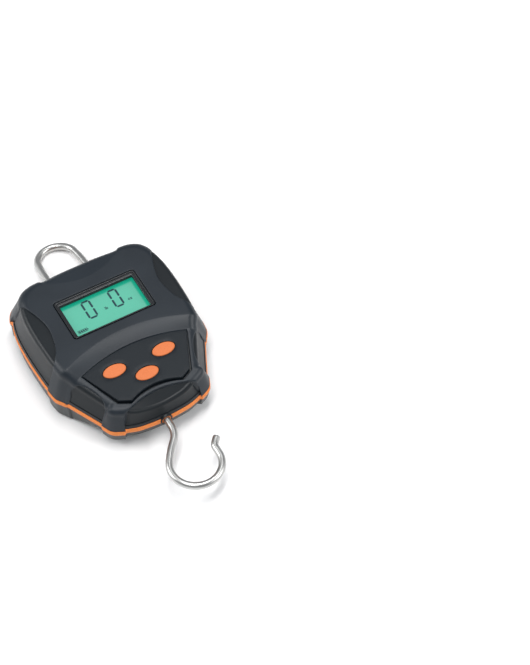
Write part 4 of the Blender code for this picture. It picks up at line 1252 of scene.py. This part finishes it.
def rubber(name, dark, light, roughness=0.46):
    """Coloured moulded rubber with a matt mottle."""
    finish = Finish(name, specular_ior_level=0.3)
    grain = finish.noise(1900.0, 3.0)
    cloud = finish.noise(120.0, 3.0)
    tone = grain.between(0.3, 0.7) * 0.65 + cloud * 0.35
    finish.feed("Base Color", finish.blend(tone, dark, light))
    finish.feed("Roughness", roughness + grain * 0.14)
    finish.bump(grain + cloud * 0.5, 0.18, 0.05)
    return finish.material


def keypad_plastic():
    """Harder, finer grained plastic of the keypad panel."""
    finish = Finish("keypad_plastic_satin", specular_ior_level=0.2)
    grain = finish.noise(3600.0, 2.0)
    cloud = finish.noise(45.0, 2.0)
    marks = scuffs(finish, 120.0)
    tone = grain * 0.6 + cloud * 0.4
    finish.feed("Base Color", finish.blend(tone, (0.0050, 0.0082, 0.0118), (0.0082, 0.0125, 0.0170)))
    finish.feed("Roughness", 0.30 + grain * 0.1 + cloud * 0.08 + marks * 0.08)
    finish.bump(grain, 0.12, 0.03)
    return finish.material


def clear_lens():
    """A clear hard lens: only its gloss shows."""
    finish = Finish("clear_window", base_color=(1, 1, 1, 1))
    smears = finish.noise(70.0, 4.0)
    finish.feed("Roughness", smears.between(0.45, 0.8) * 0.05 + 0.03)
    clear = finish.node("ShaderNodeBsdfTransparent", inputs={"Color": (0.97, 1.0, 0.985, 1)}, output="BSDF")
    fresnel = finish.node("ShaderNodeFresnel", inputs={"IOR": 1.3})
    gloss = Link(finish, finish.shader.outputs["BSDF"])
    shown = finish.node("ShaderNodeMixShader", inputs={0: fresnel * 0.3, 1: clear, 2: gloss})
    finish.tree.links.new(shown.socket, finish.tree.nodes["Material Output"].inputs["Surface"])
    return finish.material


def lcd_face():
    """The lit green face, deeper in colour along its top and right edges, where the bezel shades it."""
    finish = Finish("display_face", roughness=0.5, specular_ior_level=0.1, emission_strength=0.55)
    x, y, _ = finish.axes()
    right = ORIGIN.x + VIEW[0] * MM
    top = ORIGIN.y + (VIEW[2] + VIEW[1]) * MM
    near_right = x.between(right - 1.9 * MM, right - 0.7 * MM)
    near_top = y.between(top - 1.9 * MM, top - 0.5 * MM)
    shaded = near_right.maths("MAXIMUM", near_right, near_top)
    haze = finish.noise(55.0, 2.0)
    grain = finish.noise(2600.0, 2.0)
    finish.feed("Base Color", finish.blend(shaded, (0.05, 0.20, 0.155), (0.0, 0.12, 0.08)))
    lit = finish.blend(haze * 0.6 + grain * 0.15, (0.135, 0.545, 0.405), (0.165, 0.575, 0.435))
    finish.feed("Emission Color", finish.blend(shaded, lit, (0.0, 0.50, 0.32)))
    return finish.material


def lcd_ink():
    """The dark marks of the display."""
    finish = Finish("display_ink", roughness=0.5, specular_ior_level=0.1)
    tone = finish.noise(900.0, 2.0)
    finish.feed("Base Color", finish.blend(tone, (0.010, 0.035, 0.05), (0.02, 0.06, 0.075)))
    return finish.material


def drawn_steel():
    """Bright drawn stainless wire: fine draw lines along it, and a soft satin."""
    finish = Finish("drawn_stainless", metallic=1.0)
    place = finish.node("ShaderNodeAttribute", {"attribute_name": "wire_grain"}, output="Vector")
    lines = finish.noise(1500.0, 3.0, stretch=(1.0, 1.0, 0.02), vector=place)
    clouds = finish.noise(160.0, 3.0)
    nicks = finish.noise(520.0, 2.0).between(0.68, 0.74)
    tone = lines * 0.6 + clouds * 0.4
    finish.feed("Base Color", finish.blend(tone, (0.46, 0.46, 0.447), (0.63, 0.63, 0.615)))
    finish.feed("Roughness", 0.24 + lines * 0.12 + clouds * 0.08 + nicks * 0.12)
    finish.bump(lines - nicks * 0.6, 0.14, 0.03)
    return finish.material


def plain_metal(name, dark, light, roughness, scale=700.0, stretch=(1.0, 1.0, 1.0)):
    """Machined or plated metal, with its tool or plating marks."""
    finish = Finish(name, metallic=1.0)
    marks = finish.noise(scale, 3.0, stretch=stretch)
    stain = finish.noise(90.0, 3.0)
    finish.feed("Base Color", finish.blend(marks * 0.5 + stain * 0.5, dark, light))
    finish.feed("Roughness", roughness + marks * 0.12 + stain * 0.08)
    finish.bump(marks, 0.12, 0.03)
    return finish.material


def moulded(name, dark, light, roughness=0.4, scale=1600.0):
    """Plain moulded resin, laminate or silicone of the inner pieces."""
    finish = Finish(name)
    grain = finish.noise(scale, 3.0)
    cloud = finish.noise(80.0, 2.0)
    finish.feed("Base Color", finish.blend(grain * 0.5 + cloud * 0.5, dark, light))
    finish.feed("Roughness", roughness + grain * 0.12)
    finish.bump(grain, 0.1, 0.03)
    return finish.material


def circuit_laminate():
    """Green laminate with its copper tracks showing through the resist."""
    finish = Finish("circuit_laminate", coat_weight=0.4, coat_roughness=0.15)
    x, y, _ = finish.axes()
    bend = finish.noise(90.0, 1.0)
    wave = finish.node("ShaderNodeMath", {"operation": "SINE"}, {0: (x + bend * 0.006) * 2600.0})
    other = finish.node("ShaderNodeMath", {"operation": "SINE"}, {0: (y + bend * 0.006) * 2600.0})
    side = bend.between(0.48, 0.52)
    tracks = wave.between(0.55, 0.75) * side + other.between(0.55, 0.75) * (1 - side)
    finish.feed("Base Color", finish.blend(tracks, (0.012, 0.13, 0.05), (0.03, 0.24, 0.09)))
    finish.feed("Roughness", 0.42 - tracks * 0.1)
    finish.bump(tracks, 0.2, 0.03)
    return finish.material


def cell_sleeve():
    """A dry cell's printed sleeve: two plain bands of colour, and bare metal at its ends."""
    finish = Finish("cell_sleeve", coat_weight=0.3, coat_roughness=0.12)
    _, y, _ = finish.axes()
    low, high = (ORIGIN.y + end * MM for end in CELL_SPAN)
    bare = 1 - y.between(low + 0.5 * MM, low + 0.7 * MM) * (1 - y.between(high - 0.7 * MM, high - 0.5 * MM))
    band = y.between(high - 11.2 * MM, high - 10.8 * MM)
    wear = finish.noise(240.0, 4.0)
    body = finish.blend(band, (0.018, 0.022, 0.03), (0.55, 0.21, 0.05))
    sleeve = finish.blend(wear.between(0.62, 0.8) * 0.35, body, (0.3, 0.3, 0.3))
    finish.feed("Base Color", finish.blend(bare, sleeve, (0.62, 0.61, 0.58)))
    finish.feed("Metallic", bare * 1.0)
    finish.feed("Roughness", 0.26 + wear * 0.16)
    finish.bump(wear, 0.08, 0.03)
    return finish.material


GRIP = soft_grip("soft_grip_rubber", (0.0072, 0.0118, 0.0176), (0.0125, 0.0187, 0.0262))
# Painted light: the front grip's rubber, made lighter grey to paint in the light that the white floor throws
# onto the back.
GRIP_BACK_PAINTED_BOUNCE = soft_grip("soft_grip_back_painted_floor_light", (0.058, 0.062, 0.063), (0.074, 0.079, 0.080))
PLASTIC = case_plastic("case_plastic_satin", (0.0065, 0.009, 0.0115), (0.012, 0.0155, 0.0185))
# Painted light: the front case's plastic, made lighter grey to paint in the light that the white floor
# throws onto the back and the door.
PLASTIC_BACK_PAINTED_BOUNCE = case_plastic("case_plastic_back_painted_floor_light", (0.056, 0.059, 0.058), (0.072, 0.076, 0.075))
SEAL = rubber("seal_rubber_orange", (0.76, 0.205, 0.036), (0.88, 0.26, 0.056))
KEYS_RUBBER = rubber("key_rubber_orange", (0.585, 0.148, 0.041), (0.70, 0.192, 0.062), 0.48)
PANEL = keypad_plastic()
BEZEL_BLACK = moulded("display_surround_black", (0.0045, 0.006, 0.008), (0.008, 0.0105, 0.0135), 0.3, 2600.0)
STEEL = drawn_steel()
ZINC = plain_metal("zinc_plated_screw", (0.30, 0.31, 0.33), (0.46, 0.46, 0.45), 0.3)
NICKEL = plain_metal("nickel_spring", (0.66, 0.64, 0.58), (0.78, 0.76, 0.70), 0.22)
ALUMINIUM = plain_metal(
    "milled_aluminium", (0.66, 0.67, 0.69), (0.82, 0.83, 0.84), 0.28, 900.0, (1.0, 0.05, 1.0),
)
RESIN = moulded("black_resin", (0.010, 0.010, 0.011), (0.02, 0.02, 0.021))
SILICONE = moulded("white_silicone", (0.74, 0.74, 0.70), (0.86, 0.86, 0.83), 0.42, 700.0)
DIFFUSER = moulded("light_panel_diffuser", (0.70, 0.76, 0.72), (0.82, 0.87, 0.83), 0.5)
CONTACT = moulded("contact_strip_rubber", (0.42, 0.20, 0.26), (0.6, 0.34, 0.4), 0.6)
LAMINATE = circuit_laminate()
SLEEVE = cell_sleeve()


# Making the scale

def add(name, mesh, material, body, slot, *replaced):
    return new_piece(name, mesh, material, body, replaced)


def make_case():
    add("front_case", make_front_shell(), PLASTIC, "case", "case_plastic", "front_shell")
    add("front_soft_grip", make_front_grip(), GRIP, "case", "soft_grip", "front_grip")
    add("rear_case", make_rear_shell(), PLASTIC_BACK_PAINTED_BOUNCE, "case", "case_plastic", "rear_shell")
    add("rear_soft_grip", make_rear_grip(), GRIP_BACK_PAINTED_BOUNCE, "case", "soft_grip", "rear_grip")
    add("orange_seal", make_seal(), SEAL, "case", "seal_rubber", "case_seal")
    for label, sign in (("right", 1), ("left", -1)):
        collar = make_loop_collar(f"loop_collar_{label}", sign)
        add(f"loop_collar_{label}", collar, SEAL, "case", "seal_rubber", "case_seal")
    ring = (
        (2.15, -41.6), (GROMMET, -41.6), (GROMMET, -46.4), (2.5, -46.6), (2.3, -46.6), (2.15, -46.4),
    )
    boss = ((GROMMET, -43.0), (BOSS, -43.0), (BOSS, -46.4), (3.2, -46.8), (2.9, -46.85), (GROMMET, -46.7))
    add("hook_grommet", turned("hook_grommet", ring), SEAL, "case", "seal_rubber", "case_seal")
    add("hook_boss", turned("hook_boss", boss), PLASTIC, "case", "case_plastic", "front_shell")


def make_display():
    land = DISPLAY_HEIGHT - 0.35
    lip = DISPLAY_HEIGHT + 0.2
    foot, step = 18.3, 19.6
    profile = (
        (0, foot), (0, land - 0.3), (0.05, land - 0.08), (0.12, land), (0.55, land + 0.04),
        (0.6, lip - 0.18), (0.66, lip - 0.03), (0.74, lip), (0.84, lip), (0.93, lip - 0.08),
        (1, lip - 0.4), (1, step), (0.3, step), (0.3, foot),
    )
    bezel = frame_loft("display_bezel", profile, VIEW, BEZEL, 0.55)
    add("display_surround", bezel, BEZEL_BLACK, "case", "keypad_plastic", "display_bezel")
    lens_half = [side / 2 - 0.3 for side in SHELL_WINDOW]
    lens = slab("display_lens", *lens_half, DISPLAY_Y, *LENS_Z)
    add("display_window", lens, clear_lens(), "case", "clear_lens", "display_lens")
    glass = slab("lcd_glass", *LCD_HALF, DISPLAY_Y, LCD_BACK, LCD_Z, 0.3, 0.15)
    add("display_glass", glass, lcd_face(), "case", "lcd_face", "lcd_glass")
    ink = lcd_ink()
    add("display_marks", make_marks(), ink, "case", "lcd_face")
    for name, word, x, y in UNIT_MARKS:
        piece = unit_word(name, word, x, y)
        piece.data.materials.append(ink)
        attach(piece, "case")


def make_keypad():
    add("keypad_cover", make_panel(), PANEL, "case", "keypad_plastic", "keypad_panel")
    for name in KEYS:
        key = make_key(name)
        add(f"{name}_button", key, KEYS_RUBBER, f"{name}_button", "key_rubber", f"{name}_key")


def make_wires():
    add("wire_hook", tube("wire_hook", hook_path(), WIRE), STEEL, "hook", "stainless_steel", "weighing_hook")
    add("wire_loop", tube("wire_loop", loop_path(), WIRE), STEEL, "loop", "stainless_steel", "hanging_loop")


def make_back():
    add("door_cover", make_door(), PLASTIC_BACK_PAINTED_BOUNCE, "door", "case_plastic", "battery_door")
    number = 1
    for x, y, seat, tip in CASE_SCREWS:
        for sign in (1, -1):
            screw = f"case_screw_{number}"
            head = make_screw_head(f"{screw}_head", sign * x, y, seat)
            add(f"{screw}_head", head, ZINC, "case", "screw_steel", screw)
            shank = make_screw_shank(f"{screw}_shank", sign * x, y, seat, tip)
            add(f"{screw}_shank", shank, ZINC, "case", "screw_steel", screw)
            number += 1
    for number, sign in ((1, 1), (2, -1)):
        cell = make_cell(f"cell_{number}", sign)
        add(f"cell_{number}", cell, SLEEVE, "case", "cell_label", f"battery_{number}")
        spring = tube(f"cell_spring_{number}", spring_path(sign), 0.22, 10, 0.05)
        add(f"cell_spring_{number}", spring, NICKEL, "case", "spring_steel", f"battery_spring_{number}")


INNER_FINISHES = {
    "circuit_board": LAMINATE, "measuring_chip": RESIN, "sounder": RESIN, "power_switch": RESIN,
    "units_switch": RESIN, "tare_switch": RESIN, "load_cell": ALUMINIUM, "gauge_potting": SILICONE,
    "gauge_lead": RESIN, "lcd_backlight": DIFFUSER, "lcd_connector_upper": CONTACT,
    "lcd_connector_lower": CONTACT, "hook_nut": ZINC, "hook_washer": ZINC, "battery_tab_1": NICKEL,
    "battery_tab_2": NICKEL, "cell_screw_1": ZINC, "cell_screw_2": ZINC, "board_screw_1": ZINC,
    "board_screw_2": ZINC,
}


def finish_inner_pieces():
    for name, material in INNER_FINISHES.items():
        solid = frame["nodes"][name]
        solid.data.materials.clear()
        solid.data.materials.append(material)


make_case()
make_display()
make_keypad()
make_wires()
make_back()
finish_inner_pieces()


# Floor, light and camera

def make_floor():
    mesh = bpy.data.meshes.new("floor")
    shape = bmesh.new()
    bmesh.ops.create_grid(shape, x_segments=2, y_segments=2, size=3.0)
    shape.to_mesh(mesh)
    shape.free()
    floor = bpy.data.objects.new("floor", mesh)
    bpy.context.scene.collection.objects.link(floor)
    finish = Finish("floor_paper", specular_ior_level=0.1)
    tone = finish.noise(6.0, 2.0)
    finish.feed("Base Color", finish.blend(tone, (0.92, 0.92, 0.92), (0.94, 0.94, 0.94)))
    finish.feed("Roughness", 0.85 + tone * 0.1)
    mesh.materials.append(finish.material)
    # A hair below the case's back, so that the two never share a plane.
    floor.location.z = -0.2 * MM


def soft_light(name, place, size, power):
    """A soft rectangle of light that faces the scale."""
    light = bpy.data.lights.new(name, "AREA")
    light.shape = "RECTANGLE"
    light.size, light.size_y = size
    light.energy = power
    lamp = bpy.data.objects.new(name, light)
    lamp.location = place
    lamp.rotation_euler = Vector(place).to_track_quat("Z", "Y").to_euler()
    bpy.context.scene.collection.objects.link(lamp)


CAMERA_AZIMUTH = math.radians(-29.74)
CAMERA_ELEVATION = math.radians(53.613)
CAMERA_ROLL = math.radians(0.136)
CAMERA_PLACE = (-0.2510, -0.5872, 0.8925)
CAMERA_LENS = 112.78


def make_camera():
    lens = bpy.data.cameras.new("camera")
    lens.lens = CAMERA_LENS
    lens.sensor_width = 36.0
    lens.clip_start = 0.01
    camera = bpy.data.objects.new("camera", lens)
    turn = Euler((math.pi / 2 - CAMERA_ELEVATION, 0, CAMERA_AZIMUTH)).to_matrix().to_4x4()
    camera.matrix_world = Matrix.Translation(CAMERA_PLACE) @ turn @ Matrix.Rotation(CAMERA_ROLL, 4, "Z")
    bpy.context.scene.collection.objects.link(camera)
    bpy.context.scene.camera = camera


# Name, place, size and power
LIGHTS = (
    ("overhead", (-0.02, 0.03, 1.5), (1.4, 0.3), 15),
    ("back", (0.75, 1.5, 2.2), (1.9, 1.3), 1.6),
    ("left_back", (-1.2, 0.85, 1.0), (1.0, 0.9), 15),
    ("right_front", (1.2, -0.85, 1.0), (1.0, 0.9), 15),
)


def make_light():
    world = bpy.data.worlds.new("studio")
    world.use_nodes = True
    sky = world.node_tree.nodes["Background"]
    sky.inputs["Color"].default_value = (0.93, 0.96, 1.0, 1)
    sky.inputs["Strength"].default_value = 0.3
    bpy.context.scene.world = world
    for light in LIGHTS:
        soft_light(*light)
    bpy.context.scene.view_settings.view_transform = "Standard"


make_floor()
make_light()
make_camera()
